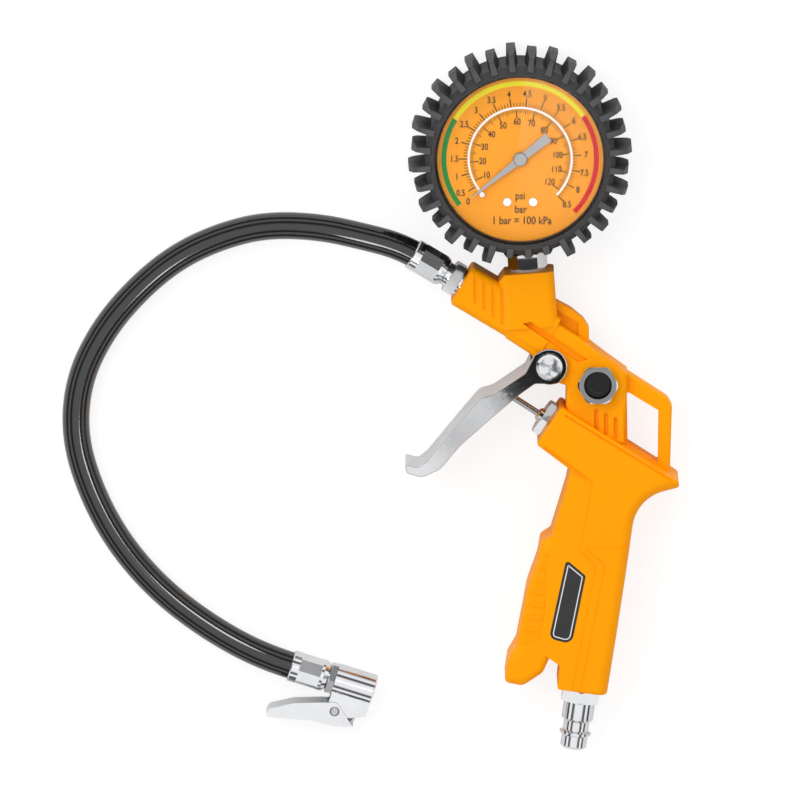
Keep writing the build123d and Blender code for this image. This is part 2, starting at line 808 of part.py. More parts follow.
# ================================================================ hose and its fittings
ferrule_start = ADAPTER_COLLAR + ADAPTER_HEAD + ADAPTER_NECK
hose_start = hose_port.offset(ferrule_start + FERRULE_LENGTH).origin
CHUCK_ANGLE = -17.5
CHUCK_HEIGHT = 8.0
CHUCK_FERRULE = (-95.6, -104.9)
chuck = axial(*CHUCK_FERRULE, CHUCK_ANGLE, CHUCK_HEIGHT)
first_run = hose_port.z_dir * 10
last_run = chuck.z_dir * 12
hose_route = [
    Vector(*hose_start),
    hose_start + first_run,
    Vector(-69.2, 64.9, 13.6),
    Vector(-87.0, 68.0, 11.6),
    Vector(-111.2, 65.0, 7.8),
    Vector(-132.3, 57.0, 5.8),
    Vector(-151.5, 43.2, 5.4),
    Vector(-167.3, 25.8, 5.4),
    Vector(-176.9, 5.0, 5.4),
    Vector(-178.6, -16.5, 5.4),
    Vector(-172.4, -37.5, 5.4),
    Vector(-161.6, -58.0, 5.4),
    Vector(-146.0, -76.3, 5.4),
    Vector(-127.2, -90.7, 6.2),
    chuck.origin - last_run,
    chuck.origin,
]


def bend_radii(route):
    """The arc at each corner, as large as its two runs allow."""
    radii = []
    for before, corner, after in zip(route, route[1:], route[2:]):
        arrive, leave = corner - before, after - corner
        turn = radians(arrive.get_angle(leave))
        radii.append(0.45 * min(arrive.length, leave.length) / tan(turn / 2))
    return radii


hose_radii = bend_radii(hose_route)
print("hose bend radii", [round(radius) for radius in hose_radii])
with BuildPart() as hose:
    with BuildLine() as hose_path:
        FilletPolyline(*hose_route, radius=hose_radii)
    with BuildSketch(Plane(origin=hose_path.line @ 0, z_dir=hose_path.line % 0)):
        Circle(HOSE_RADIUS)
    sweep()
hose_length = sum(edge.length for edge in hose_path.edges())
print("hose length", round(hose_length, 1))
print("volume over section times length", hose.part.volume / (hose_length * pi * HOSE_RADIUS**2))
write("hose", hose)


def ferrule(plane, length):
    """A crimped sleeve: a plain collar, then flats pressed all round, then a shoulder."""
    body = turned(
        plane,
        (0, BARB_RADIUS),
        (0, FERRULE_RADIUS - 0.4),
        (0.4, FERRULE_RADIUS),
        (length - 2.2, FERRULE_RADIUS),
        (length - 0.6, FERRULE_RADIUS - 0.7),
        (length, FERRULE_RADIUS - 1.6),
        (length, BARB_RADIUS),
    )
    with BuildPart() as sleeve:
        add(body.part)
        with BuildSketch(plane.offset(3.2)):
            Circle(FERRULE_RADIUS + 1)
            RegularPolygon(FERRULE_RADIUS - 0.45, 8, major_radius=False, mode=Mode.SUBTRACT)
        extrude(amount=length - 6.4, mode=Mode.SUBTRACT)
    return sleeve


gun_ferrule = ferrule(axial(hose_start.X, hose_start.Y, HOSE_PORT_ANGLE + 180), FERRULE_LENGTH)
write("gun_end_ferrule", gun_ferrule)
adapter_head = hexagon(hose_port.offset(ADAPTER_COLLAR), ADAPTER_FLATS, ADAPTER_HEAD, chamfer=0.9)
adapter_turning = turned(
    hose_port,
    (-9, 2.0),
    (-9, PORT_THREAD - 0.02),
    (0, PORT_THREAD - 0.02),
    (0, ADAPTER_FLATS / 2 - 0.4),
    (ADAPTER_COLLAR, ADAPTER_FLATS / 2 - 0.4),
    (ADAPTER_COLLAR + ADAPTER_HEAD, 4.6),
    (ferrule_start, 4.6),
    (ferrule_start, BARB_RADIUS - 0.02),
    (ferrule_start + FERRULE_LENGTH, BARB_RADIUS - 0.02),
    (ferrule_start + FERRULE_LENGTH, 2.0),
)
with BuildPart() as hose_adapter:
    add(adapter_head.part)
    add(adapter_turning.part)
    with BuildSketch(hose_port):
        Circle(2.0)
    extrude(amount=ferrule_start, mode=Mode.SUBTRACT)
write("hose_adapter", hose_adapter)

# ================================================================ chuck
CHUCK_FERRULE_LENGTH = 15.0
SPIGOT = 4.0  # the stem's round end inside the housing
chuck_ferrule = ferrule(chuck, CHUCK_FERRULE_LENGTH)
write("chuck_end_ferrule", chuck_ferrule)
stem_hex = chuck.offset(CHUCK_FERRULE_LENGTH)
stem_head = hexagon(stem_hex, CHUCK_STEM_FLATS, CHUCK_STEM_HEAD, chamfer=0.8)
with BuildPart() as chuck_stem:
    add(stem_head.part)
    with BuildSketch(chuck):
        Circle(BARB_RADIUS - 0.02)
    extrude(amount=CHUCK_FERRULE_LENGTH)
    with BuildSketch(stem_hex.offset(CHUCK_STEM_HEAD)):
        Circle(CHUCK_INNER_BORE)
    extrude(amount=SPIGOT)
    with BuildSketch(chuck):
        Circle(1.8)
    extrude(amount=40, mode=Mode.SUBTRACT)
write("chuck_stem", chuck_stem)

house = stem_hex.offset(CHUCK_STEM_HEAD)
# Side views of the chuck: x runs along its axis, y towards the hose's side of the floor plane
house_side = Plane(origin=house.origin, x_dir=house.z_dir, z_dir=(0, 0, 1))
# Distances along the chuck's axis and out from it
RIVET = (3.4, -11.0)
flange_end = CHUCK_LENGTH - 0.2
flange_outline = [(0.4, 0), (flange_end, 0), (flange_end, -9.8), (9.0, -12.2), (1.4, -13.6), (0.2, -11.5)]
JAW_SLOT = 9.8  # where the jaw's slot begins
JAW_TIP = 13.1
slot_length = CHUCK_LENGTH - CHUCK_RIM - JAW_SLOT
with BuildPart() as chuck_housing:
    with BuildSketch(house):
        Circle(CHUCK_RADIUS)
    extrude(amount=CHUCK_LENGTH)
    chamfer(chuck_housing.faces().sort_by(Axis(house.origin, house.z_dir))[-1].edges(), 0.5)
    with BuildSketch(house_side):
        with BuildLine():
            FilletPolyline(*flange_outline, radius=[0.2, 0.2, 1.5, 1.5, 1.5, 1.0], close=True)
        make_face()
    extrude(amount=CHUCK_FLANGE, both=True)
    # Slot between the two flanges, where the jaw and the lever's spring work
    with BuildSketch(house_side):
        with Locations((6, -12.2)):
            Rectangle(24, 11.0)
    extrude(amount=CHUCK_FLANGE - FLANGE_SHEET, both=True, mode=Mode.SUBTRACT)
    with BuildSketch(house_side):
        with Locations((JAW_SLOT + slot_length / 2, -6.0)):
            Rectangle(slot_length, 8.0)
    extrude(amount=JAW_HALF + PLAY, both=True, mode=Mode.SUBTRACT)
    # Mouth for the tyre's valve, the air way behind it and the rivet's hole
    with BuildSketch(house):
        Circle(CHUCK_INNER_BORE)
    extrude(amount=CHUCK_LENGTH, mode=Mode.SUBTRACT)
    with BuildSketch(house.offset(CHUCK_LENGTH - CHUCK_BORE_DEPTH)):
        Circle(CHUCK_BORE)
    extrude(amount=CHUCK_BORE_DEPTH, mode=Mode.SUBTRACT)
    with BuildSketch(house_side):
        with Locations(RIVET):
            Circle(LEVER_PIN + RUNNING)
    extrude(amount=CHUCK_FLANGE + 1, both=True, mode=Mode.SUBTRACT)
write("chuck_housing", chuck_housing)

SEAL_START = CHUCK_LENGTH - CHUCK_BORE_DEPTH - CHUCK_SEAL_LENGTH - SEAL_RECESS
SEAL_HOLE = 1.9
seal_outside = CHUCK_INNER_BORE - 0.02
chuck_seal = turned(
    house.offset(SEAL_START),
    (0, SEAL_HOLE),
    (0, seal_outside),
    (CHUCK_SEAL_LENGTH, seal_outside),
    (CHUCK_SEAL_LENGTH, SEAL_HOLE),
)
write("chuck_seal", chuck_seal)
# The pin stands on the stem's end and stops just inside the seal's face
pin_length = SEAL_START + CHUCK_SEAL_LENGTH - SPIGOT - 0.1
depressor = turned(
    house.offset(SPIGOT),
    (0, 0),
    (0, 1.1),
    (pin_length - 1.5, 1.1),
    (pin_length - 1.0, 0.7),
    (pin_length, 0.7),
    (pin_length, 0),
)
with BuildPart() as depressor_pin:
    add(depressor.part)
    with BuildSketch(house.offset(SPIGOT)):
        Rectangle(1.2, 2 * CHUCK_INNER_BORE - 0.1)
    extrude(amount=SEAL_START - SPIGOT)
write("depressor_pin", depressor_pin)

lever_outline = [
    (3.2, -7.6),
    (-3.0, -9.4),
    (-12.4, -12.6),
    (-20.6, -17.4),
    (-21.6, -21.0),
    (-13.0, -19.2),
    (-4.0, -17.0),
    (5.0, -16.6),
    (11.4, -14.4),
]
lever_channel = [
    (3.4, -4),
    (-3.6, -10.9),
    (-12.6, -14.2),
    (-18.8, -18.0),
    (-13.0, -24),
    (14, -20),
    (14, -4),
]
LEVER_INSIDE = CHUCK_FLANGE + PLAY
lever_half = LEVER_INSIDE + LEVER_SHEET
with BuildPart() as chuck_lever:
    with BuildSketch(house_side):
        with BuildLine():
            FilletPolyline(*lever_outline, radius=[2.0, 3, 4, 2, 1, 4, 4, 3, 0.8], close=True)
        make_face()
    extrude(amount=lever_half, both=True)
    with BuildSketch(house_side):
        with BuildLine():
            Polyline(*lever_channel, close=True)
        make_face()
    extrude(amount=LEVER_INSIDE, both=True, mode=Mode.SUBTRACT)
    # Foot that carries the jaw
    with BuildSketch(house_side):
        with BuildLine():
            Polyline((7.6, -15.0), (11.0, -13.9), (11.9, -14.7), (7.9, -16.0), close=True)
        make_face()
    extrude(amount=lever_half, both=True)
    with BuildSketch(house_side):
        with Locations(RIVET):
            Circle(LEVER_PIN + RUNNING)
    extrude(amount=lever_half + 1, both=True, mode=Mode.SUBTRACT)
write("chuck_lever", chuck_lever)

with BuildPart() as chuck_jaw:
    with BuildSketch(house_side):
        with BuildLine():
            Polyline(
                (7.6, -15.0),
                (11.0, -13.9),
                (11.6, -13.7),
                (JAW_TIP, -CHUCK_BORE - 0.1),
                (JAW_TIP - 0.7, -CHUCK_BORE - 0.1),
                (10.8, -13.2),
                (7.4, -14.3),
                close=True,
            )
        make_face()
    extrude(amount=JAW_HALF, both=True)
write("chuck_jaw", chuck_jaw)

rivet_axis = Plane(origin=house_side.from_local_coords(Vector(*RIVET, 0)), z_dir=(0, 0, 1))
lever_rivet = turned(
    rivet_axis,
    (-lever_half - 0.6, 0),
    (-lever_half - 0.6, 1.3),
    (-lever_half - 0.1, 1.9),
    (-lever_half, 1.9),
    (-lever_half, LEVER_PIN),
    (lever_half, LEVER_PIN),
    (lever_half, 1.9),
    (lever_half + 0.1, 1.9),
    (lever_half + 0.6, 1.3),
    (lever_half + 0.6, 0),
)
write("lever_rivet", lever_rivet)
lever_spring = coil(rivet_axis.offset(-2.0), LEVER_PIN + 0.6, 0.6, 4.0, 4)
write("lever_spring", lever_spring)

# ================================================================ gauge
lean = radians(GAUGE_LEAN)
CENTRE = (GAUGE_PORT[0] - GAUGE_REACH * sin(lean), GAUGE_PORT[1] + GAUGE_REACH * cos(lean))


def gauge_plane(height, turn=GAUGE_LEAN):
    """A plane across the gauge's axis at a height above the bench, turned with the gauge."""
    side = radians(turn)
    return Plane(origin=(*CENTRE, height), x_dir=(cos(side), sin(side), 0), z_dir=(0, 0, 1))


gauge_axis = gauge_plane(0)
gauge_case = turned(
    gauge_axis,
    (CASE_BACK, 0),
    (CASE_BACK, CASE_RADIUS - 1),
    (CASE_BACK + 1, CASE_RADIUS),
    (CASE_FRONT, CASE_RADIUS),
    (CASE_FRONT, CASE_RADIUS - CASE_WALL),
    (DIAL_HEIGHT, CASE_RADIUS - CASE_WALL),
    (DIAL_HEIGHT, DIAL_RADIUS - DIAL_SEAT),
    (DIAL_HEIGHT - 1, DIAL_RADIUS - DIAL_SEAT),
    (DIAL_HEIGHT - 1, CASE_RADIUS - CASE_WALL),
    (CASE_BACK + CASE_WALL, CASE_RADIUS - CASE_WALL),
    (CASE_BACK + CASE_WALL, 0),
)
STEM_NECK = 4.6
PLUG_RADIUS = 4.0
PLUG_PLACE = (0, 18)
with BuildPart() as case:
    add(gauge_case.part)
    with BuildSketch(gauge_port.offset(6)):
        Circle(STEM_NECK + 0.1)
    extrude(amount=10, mode=Mode.SUBTRACT)
    with BuildSketch(gauge_plane(CASE_BACK)):
        with Locations(PLUG_PLACE):
            Circle(PLUG_RADIUS)
    extrude(amount=CASE_WALL, mode=Mode.SUBTRACT)
write("gauge_case", case)
with BuildPart() as blowout_plug:
    with BuildSketch(gauge_plane(CASE_BACK)):
        with Locations(PLUG_PLACE):
            Circle(PLUG_RADIUS - 0.02)
    extrude(amount=CASE_WALL)
    with BuildSketch(gauge_plane(CASE_BACK + CASE_WALL)):
        with Locations(PLUG_PLACE):
            Circle(PLUG_RADIUS + 1)
    extrude(amount=0.6)
write("blowout_plug", blowout_plug)

# Rubber boot, with lugs round it like a tyre
boot_ring = turned(
    gauge_axis,
    (0, BOOT_BACK_LIP),
    (0, BOOT_RADIUS - 1.2),
    (1.2, BOOT_RADIUS),
    (BOOT_FRONT - 1.6, BOOT_RADIUS),
    (BOOT_FRONT, BOOT_RADIUS - 1.8),
    (BOOT_FRONT, BOOT_LIP + 0.3),
    (BOOT_FRONT - 0.6, BOOT_LIP),
    (LENS_HEIGHT + LENS_THICKNESS + PLAY, BOOT_LIP),
    (LENS_HEIGHT + LENS_THICKNESS + PLAY, CASE_RADIUS + 0.05),
    (CASE_BACK - 0.05, CASE_RADIUS + 0.05),
    (CASE_BACK - 0.05, BOOT_BACK_LIP),
)
LUG_FACE = 2.5  # a lug's width at the boot's faces
LUG_WAIST = 4.6  # and at its crown
LUG_ROOT = BOOT_RADIUS - 2.4
LUG_TOP = BOOT_FRONT + LUG_PROUD
LUG_MIDDLE = BOOT_FRONT / 2
LUG_FACE_TOP = LUG_CROWN - 1.8
STUB_CROWN = BOOT_RADIUS + 1.6


def lug(crown, face_top):
    """One lug, standing along +X from the gauge's axis: tapered towards both faces of the boot."""
    base = gauge_plane(0, 0)
    with BuildPart() as block:
        root = base.origin + Vector(LUG_ROOT, 0, 0)
        with BuildSketch(Plane(origin=root, x_dir=(0, 1, 0), z_dir=(1, 0, 0))):
            with BuildLine():
                Polyline(
                    (-LUG_FACE / 2, LUG_TOP),
                    (-LUG_WAIST / 2, LUG_MIDDLE + 6),
                    (-LUG_WAIST / 2, LUG_MIDDLE - 6),
                    (-LUG_FACE / 2, 0.4),
                    (LUG_FACE / 2, 0.4),
                    (LUG_WAIST / 2, LUG_MIDDLE - 6),
                    (LUG_WAIST / 2, LUG_MIDDLE + 6),
                    (LUG_FACE / 2, LUG_TOP),
                    close=True,
                )
            make_face()
        extrude(amount=crown - LUG_ROOT, taper=4)
        with BuildSketch(Plane(origin=base.origin, x_dir=(1, 0, 0), z_dir=(0, -1, 0))):
            with BuildLine():
                Polyline(
                    (LUG_ROOT, 0.4),
                    (LUG_ROOT, BOOT_FRONT),
                    (LUG_ROOT + 0.6, LUG_TOP),
                    (face_top, LUG_TOP),
                    (crown, LUG_MIDDLE + 5),
                    (crown, LUG_MIDDLE - 5),
                    (face_top, 0.4),
                    close=True,
                )
            make_face()
        extrude(amount=LUG_WAIST, both=True, mode=Mode.INTERSECT)
    return block


long_lug = lug(LUG_CROWN, LUG_FACE_TOP)
short_lug = lug(SHORT_LUG_CROWN, LUG_FACE_TOP - 1.2)
stub_lug = lug(STUB_CROWN, STUB_CROWN - 0.4)
LUG_STEP = 360 / LUGS
FIRST_LUG = 90 + 5.0  # a long lug stands here
STUBS = (15, 16, 17)  # the lugs that make room for the gauge's stem, counted from the first
with BuildPart() as rubber_boot:
    add(boot_ring.part)
    for n in range(LUGS):
        shape = stub_lug if n in STUBS else (long_lug if n % 2 == 0 else short_lug)
        add(shape.part.rotate(Axis((*CENTRE, 0), (0, 0, 1)), FIRST_LUG + n * LUG_STEP))
    with BuildSketch(gauge_port.offset(5)):
        Circle(GAUGE_STEM_FLATS / 2 + 1.4)
    extrude(amount=8, mode=Mode.SUBTRACT)
write("rubber_boot", rubber_boot)

# Stem: thread, hexagon, neck and socket block in one
STEM_WASHER = 0.8
SOCKET_FLOOR = 6.0
SOCKET_WIDTH = 12.0
SOCKET_DEPTH = 9.0
stem_head = hexagon(gauge_port.offset(STEM_WASHER), GAUGE_STEM_FLATS, 6.2, chamfer=1.0, turn=30)
socket_place = CASE_RADIUS - CASE_WALL - 1.5
PLATE_FOOT = -socket_place + SOCKET_DEPTH + 1.5  # lower edge of the movement's plates
with BuildPart() as gauge_stem:
    add(stem_head.part)
    with BuildSketch(gauge_port.offset(-8)):
        Circle(GAUGE_THREAD - 0.02)
    extrude(amount=8 + STEM_WASHER)
    with BuildSketch(gauge_port.offset(STEM_WASHER)):
        Circle(STEM_NECK)
    extrude(amount=GAUGE_REACH - socket_place)
    with BuildSketch(gauge_plane(SOCKET_FLOOR)):
        with Locations((0, -socket_place + SOCKET_DEPTH / 2)):
            Rectangle(SOCKET_WIDTH, SOCKET_DEPTH)
    extrude(amount=2 * (MID - SOCKET_FLOOR))
    with BuildSketch(gauge_port.offset(-8)):
        Circle(1.5)
    extrude(amount=22, mode=Mode.SUBTRACT)
write("gauge_stem", gauge_stem)
stem_washer = turned(
    gauge_port,
    (0, GAUGE_THREAD + 0.05),
    (0, 6.6),
    (STEM_WASHER, 6.6),
    (STEM_WASHER, GAUGE_THREAD + 0.05),
)
write("stem_washer", stem_washer)

# Dial, its screws and the zero stop
DIAL_HOLE = 2.0
SCREWS = ((-4.9, PLATE_FOOT + 3.6), (4.9, PLATE_FOOT + 3.6))
dial_top = DIAL_HEIGHT + DIAL_SHEET
with BuildPart() as dial_plate:
    with BuildSketch(gauge_plane(DIAL_HEIGHT, 0)):
        Circle(DIAL_RADIUS)
        Circle(DIAL_HOLE, mode=Mode.SUBTRACT)
        with Locations(*SCREWS):
            Circle(0.9, mode=Mode.SUBTRACT)
    extrude(amount=DIAL_SHEET)
write("dial_plate", dial_plate)
with BuildPart() as dial_screws:
    with BuildSketch(gauge_plane(UPPER_PLATE + PLATE_SHEET, 0)):
        with Locations(*SCREWS):
            Circle(0.85)
    extrude(amount=dial_top - UPPER_PLATE - PLATE_SHEET)
    with BuildSketch(gauge_plane(dial_top, 0)):
        with Locations(*SCREWS):
            Circle(1.9)
    extrude(amount=0.8, taper=25)
write("dial_screws", dial_screws)
STOP_ANGLE = radians(POINTER_ZERO + 4.6)
STOP_REACH = 19.7
with BuildPart() as zero_stop_pin:
    with BuildSketch(gauge_plane(dial_top, 0)):
        with Locations((STOP_REACH * cos(STOP_ANGLE), STOP_REACH * sin(STOP_ANGLE))):
            Circle(0.95)
    extrude(amount=POINTER_HEIGHT + POINTER_SHEET + 0.3 - dial_top)
write("zero_stop_pin", zero_stop_pin)

# Pointer: a thin blade with a broad tail, on its hub
POINTER_TIP = 23.4
POINTER_TAIL = 13.6
pointer_plane = gauge_plane(POINTER_HEIGHT, POINTER_ZERO)
with BuildPart() as pointer:
    with BuildSketch(pointer_plane):
        with BuildLine():
            Polyline(
                (POINTER_TIP, 0.12),
                (2.0, 1.35),
                (0, 1.3),
                (-POINTER_TAIL, 1.8),
                (-POINTER_TAIL, -1.8),
                (0, -1.3),
                (2.0, -1.35),
                (POINTER_TIP, -0.12),
                close=True,
            )
        make_face()
    extrude(amount=POINTER_SHEET)
    with BuildSketch(pointer_plane.offset(-0.4)):
        Circle(2.65)
    extrude(amount=1.5)
    chamfer(pointer.faces().sort_by(Axis.Z)[-1].edges(), 0.35)
    with BuildSketch(pointer_plane.offset(-1)):
        Circle(SHAFT_RADIUS)
    extrude(amount=2.0, mode=Mode.SUBTRACT)
write("pointer", pointer)

# Lens and the black ring that holds it
LENS_RADIUS = CASE_RADIUS - 0.2
with BuildPart() as lens:
    with BuildSketch(gauge_plane(LENS_HEIGHT)):
        Circle(LENS_RADIUS)
    extrude(amount=LENS_THICKNESS)
write("lens", lens)
lens_ring = turned(
    gauge_axis,
    (dial_top, DIAL_RADIUS - 0.2),
    (dial_top, CASE_RADIUS - CASE_WALL - 0.1),
    (CASE_FRONT + 0.1, CASE_RADIUS - CASE_WALL - 0.1),
    (CASE_FRONT + 0.1, CASE_RADIUS - 0.2),
    (LENS_HEIGHT, CASE_RADIUS - 0.2),
    (LENS_HEIGHT, DIAL_RADIUS - 0.2),
)
write("lens_ring", lens_ring)

# Movement: Bourdon tube, tip, link, sector, pinion, hairspring and plates
TUBE_RADIUS = CASE_RADIUS - 8.0
TUBE_HALF = 1.3
TUBE_BACK = 9.5
TUBE_WIDTH = 9.0
TUBE_FROM = 270 - degrees(asin((SOCKET_WIDTH / 2 + RUNNING) / (TUBE_RADIUS - TUBE_HALF)))
TUBE_TO = -10.0


def polar(radius, angle):
    """A point at a radius and an angle from +X."""
    return (radius * cos(radians(angle)), radius * sin(radians(angle)))


middle_angle = (TUBE_FROM + TUBE_TO) / 2
outer, inner = TUBE_RADIUS + TUBE_HALF, TUBE_RADIUS - TUBE_HALF
with BuildPart() as bourdon_tube:
    with BuildSketch(gauge_plane(TUBE_BACK)):
        with BuildLine():
            ThreePointArc(polar(outer, TUBE_FROM), polar(outer, middle_angle), polar(outer, TUBE_TO))
            Line(polar(outer, TUBE_TO), polar(inner, TUBE_TO))
            ThreePointArc(polar(inner, TUBE_TO), polar(inner, middle_angle), polar(inner, TUBE_FROM))
            Line(polar(inner, TUBE_FROM), polar(outer, TUBE_FROM))
        make_face()
    extrude(amount=TUBE_WIDTH)
write("bourdon_tube", bourdon_tube)

SECTOR_PIVOT = (0, -MODULE * (PINION_TEETH + SECTOR_TEETH) / 2)
TAIL = (8.0, SECTOR_PIVOT[1] - 1.75)
TIP_PIN = polar(TUBE_RADIUS - 1.7, TUBE_TO - 3.9)
GEAR_BACK = LOWER_PLATE + PLATE_SHEET + 1.0
GEAR_WIDTH = 1.6
LINK_BACK = GEAR_BACK + GEAR_WIDTH + 0.3
LINK_SHEET = 0.8
TIP_PIN_RADIUS = 0.6
TAIL_PIN_RADIUS = 0.7
with BuildPart() as tube_tip:
    with BuildSketch(gauge_plane(TUBE_BACK)):
        with BuildLine():
            Polyline(
                polar(outer, TUBE_TO),
                polar(inner, TUBE_TO),
                polar(inner - 2.4, TUBE_TO - 3),
                polar(inner - 2.0, TUBE_TO - 10),
                polar(outer - 1, TUBE_TO - 8),
                close=True,
            )
        make_face()
    extrude(amount=TUBE_WIDTH)
    with BuildSketch(gauge_plane(LINK_BACK - PLAY)):
        with Locations(TIP_PIN):
            Rectangle(5.6, 5.2)
    extrude(amount=LINK_SHEET + 2 * PLAY, mode=Mode.SUBTRACT)
    with BuildSketch(gauge_plane(LINK_BACK - 1.2)):
        with Locations(TIP_PIN):
            Circle(TIP_PIN_RADIUS)
    extrude(amount=LINK_SHEET + 2.4)
write("tube_tip", tube_tip)


def gear_tooth(radius):
    """A slim tooth that stands along +X on a pitch radius."""
    half = 0.36 * MODULE * pi / 2
    low, high = radius - 1.35 * MODULE, radius + 0.85 * MODULE
    with BuildSketch() as tooth:
        with BuildLine():
            Polyline(
                (low, -half * 1.3),
                (high, -half * 0.5),
                (high, half * 0.5),
                (low, half * 1.3),
                close=True,
            )
        make_face()
    return tooth.sketch


PINION_PITCH = MODULE * PINION_TEETH / 2
SECTOR_PITCH = MODULE * SECTOR_TEETH / 2
pinion_tooth = gear_tooth(PINION_PITCH)
sector_tooth = gear_tooth(SECTOR_PITCH)
with BuildPart() as pinion:
    with BuildSketch(gauge_plane(GEAR_BACK)):
        Circle(PINION_PITCH - 1.15 * MODULE)
        with PolarLocations(0, PINION_TEETH, start_angle=-90):
            add(pinion_tooth)
    extrude(amount=GEAR_WIDTH)
    with BuildSketch(gauge_plane(LOWER_PLATE + 0.1)):
        Circle(SHAFT_RADIUS)
    extrude(amount=POINTER_HEIGHT + 0.8 - LOWER_PLATE)
write("pinion", pinion)

with BuildPart() as sector_gear:
    with BuildSketch(gauge_plane(GEAR_BACK)):
        with Locations(SECTOR_PIVOT):
            Circle(2.4)
        # Arm to the toothed rim, leaning to the right of the pinion at rest
        with BuildLine():
            rim = SECTOR_PITCH - 1.15 * MODULE
            start, end = 90 + 4, 90 - 36
            place = Vector(*SECTOR_PIVOT)
            ThreePointArc(
                place + Vector(*polar(rim, start)),
                place + Vector(*polar(rim, (start + end) / 2)),
                place + Vector(*polar(rim, end)),
            )
            Polyline(
                place + Vector(*polar(rim, end)),
                place + Vector(*polar(2.3, -30)),
                place + Vector(*polar(2.3, 150)),
                place + Vector(*polar(rim, start)),
            )
        make_face()
        with BuildLine():
            Polyline(
                SECTOR_PIVOT,
                (SECTOR_PIVOT[0], SECTOR_PIVOT[1] + 1.6),
                (TAIL[0] + 1.5, TAIL[1] + 1.3),
                (TAIL[0] + 1.5, TAIL[1] - 1.3),
                (SECTOR_PIVOT[0], SECTOR_PIVOT[1] - 2.2),
                close=True,
            )
        make_face()
        for n in range(-8, 1):
            tooth_angle = 90 + (n + 0.5) * 360 / SECTOR_TEETH
            with Locations(Location((*SECTOR_PIVOT, 0), (0, 0, tooth_angle))):
                add(sector_tooth)
        with Locations(SECTOR_PIVOT):
            Circle(0.9, mode=Mode.SUBTRACT)
        with Locations(TAIL):
            Circle(TAIL_PIN_RADIUS, mode=Mode.SUBTRACT)
    extrude(amount=GEAR_WIDTH)
write("sector_gear", sector_gear)

link_turn = degrees(atan2(TIP_PIN[1] - TAIL[1], TIP_PIN[0] - TAIL[0]))
link_length = hypot(TIP_PIN[0] - TAIL[0], TIP_PIN[1] - TAIL[1])
with BuildPart() as link:
    with BuildSketch(gauge_plane(LINK_BACK)):
        with Locations(Location((*TAIL, 0), (0, 0, link_turn))):
            with Locations((link_length / 2, 0)):
                SlotCenterToCenter(link_length, 2.4)
        with Locations(TIP_PIN):
            Circle(TIP_PIN_RADIUS + RUNNING, mode=Mode.SUBTRACT)
    extrude(amount=LINK_SHEET)
    with BuildSketch(gauge_plane(GEAR_BACK - 0.4)):
        with Locations(TAIL):
            Circle(TAIL_PIN_RADIUS - RUNNING)
    extrude(amount=LINK_BACK - GEAR_BACK + 0.4)
write("movement_link", link)

# Plates on three pillars
plate_corners = [(-8, 8), (8, 8), (8, PLATE_FOOT), (-8, PLATE_FOOT)]
PILLARS = ((-6.2, 5.8), (6.2, 5.8), (-5.0, PLATE_FOOT + 2.4))
with BuildPart() as lower_plate:
    with BuildSketch(gauge_plane(LOWER_PLATE)):
        with BuildLine():
            FilletPolyline(*plate_corners, radius=2, close=True)
        make_face()
        Circle(SHAFT_RADIUS + RUNNING, mode=Mode.SUBTRACT)
        with Locations(SECTOR_PIVOT):
            Circle(0.9 - RUNNING, mode=Mode.SUBTRACT)
    extrude(amount=PLATE_SHEET)
    with BuildSketch(gauge_plane(LOWER_PLATE)):
        with Locations((0, -socket_place + SOCKET_DEPTH + 1.8)):
            Rectangle(10, 3.5)
    extrude(amount=-1.6)
write("movement_lower_plate", lower_plate)
with BuildPart() as upper_plate:
    with BuildSketch(gauge_plane(UPPER_PLATE)):
        with BuildLine():
            FilletPolyline(*plate_corners, radius=2, close=True)
        make_face()
        Circle(SHAFT_RADIUS + RUNNING, mode=Mode.SUBTRACT)
    extrude(amount=PLATE_SHEET)
write("movement_upper_plate", upper_plate)
with BuildPart() as pillars:
    with BuildSketch(gauge_plane(LOWER_PLATE + PLATE_SHEET)):
        with Locations(*PILLARS):
            Circle(1.1)
    extrude(amount=UPPER_PLATE - LOWER_PLATE - PLATE_SHEET)
write("movement_pillars", pillars)
with BuildPart() as sector_arbor:
    with BuildSketch(gauge_plane(LOWER_PLATE)):
        with Locations(SECTOR_PIVOT):
            Circle(0.9 - RUNNING)
    extrude(amount=UPPER_PLATE - LOWER_PLATE)
write("sector_arbor", sector_arbor)

# Hairspring: a flat spiral between the pinion and the upper plate
SPRING_BACK = GEAR_BACK + GEAR_WIDTH + 1.6
with BuildPart() as hairspring:
    with BuildSketch(gauge_plane(SPRING_BACK)):
        for n in range(3):
            Circle(1.6 + n)
            Circle(1.4 + n, mode=Mode.SUBTRACT)
        with Locations((2.1, 0)):
            Rectangle(2.6, 0.3)
    extrude(amount=0.8)
write("hairspring", hairspring)
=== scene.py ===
"""Tyre inflator with gauge: the hose, the dial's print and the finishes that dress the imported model.

Metres, in the model's own frame: the gun lies on its side on a bench at z = 0, +Y runs from the nipple to
the gauge and +Z out of the dial.
"""

import json
import math

import bpy
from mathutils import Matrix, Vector


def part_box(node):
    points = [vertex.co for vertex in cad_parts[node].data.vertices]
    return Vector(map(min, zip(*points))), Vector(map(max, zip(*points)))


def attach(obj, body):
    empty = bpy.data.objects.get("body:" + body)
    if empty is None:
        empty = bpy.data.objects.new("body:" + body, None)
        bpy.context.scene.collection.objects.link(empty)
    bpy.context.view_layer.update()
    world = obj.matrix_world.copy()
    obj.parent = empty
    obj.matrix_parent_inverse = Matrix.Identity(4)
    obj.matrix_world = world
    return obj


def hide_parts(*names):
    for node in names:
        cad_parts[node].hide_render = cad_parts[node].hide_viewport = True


bl_info = {
    "name": "Tyre inflator dress",
    "version": (1, 0, 0),
    "blender": (4, 5, 0),
    "location": "3D Viewport > Sidebar > Inflator",
    "description": "Adds the hose, the dial's print and the finishes to the packed tyre inflator",
    "category": "Add Mesh",
}

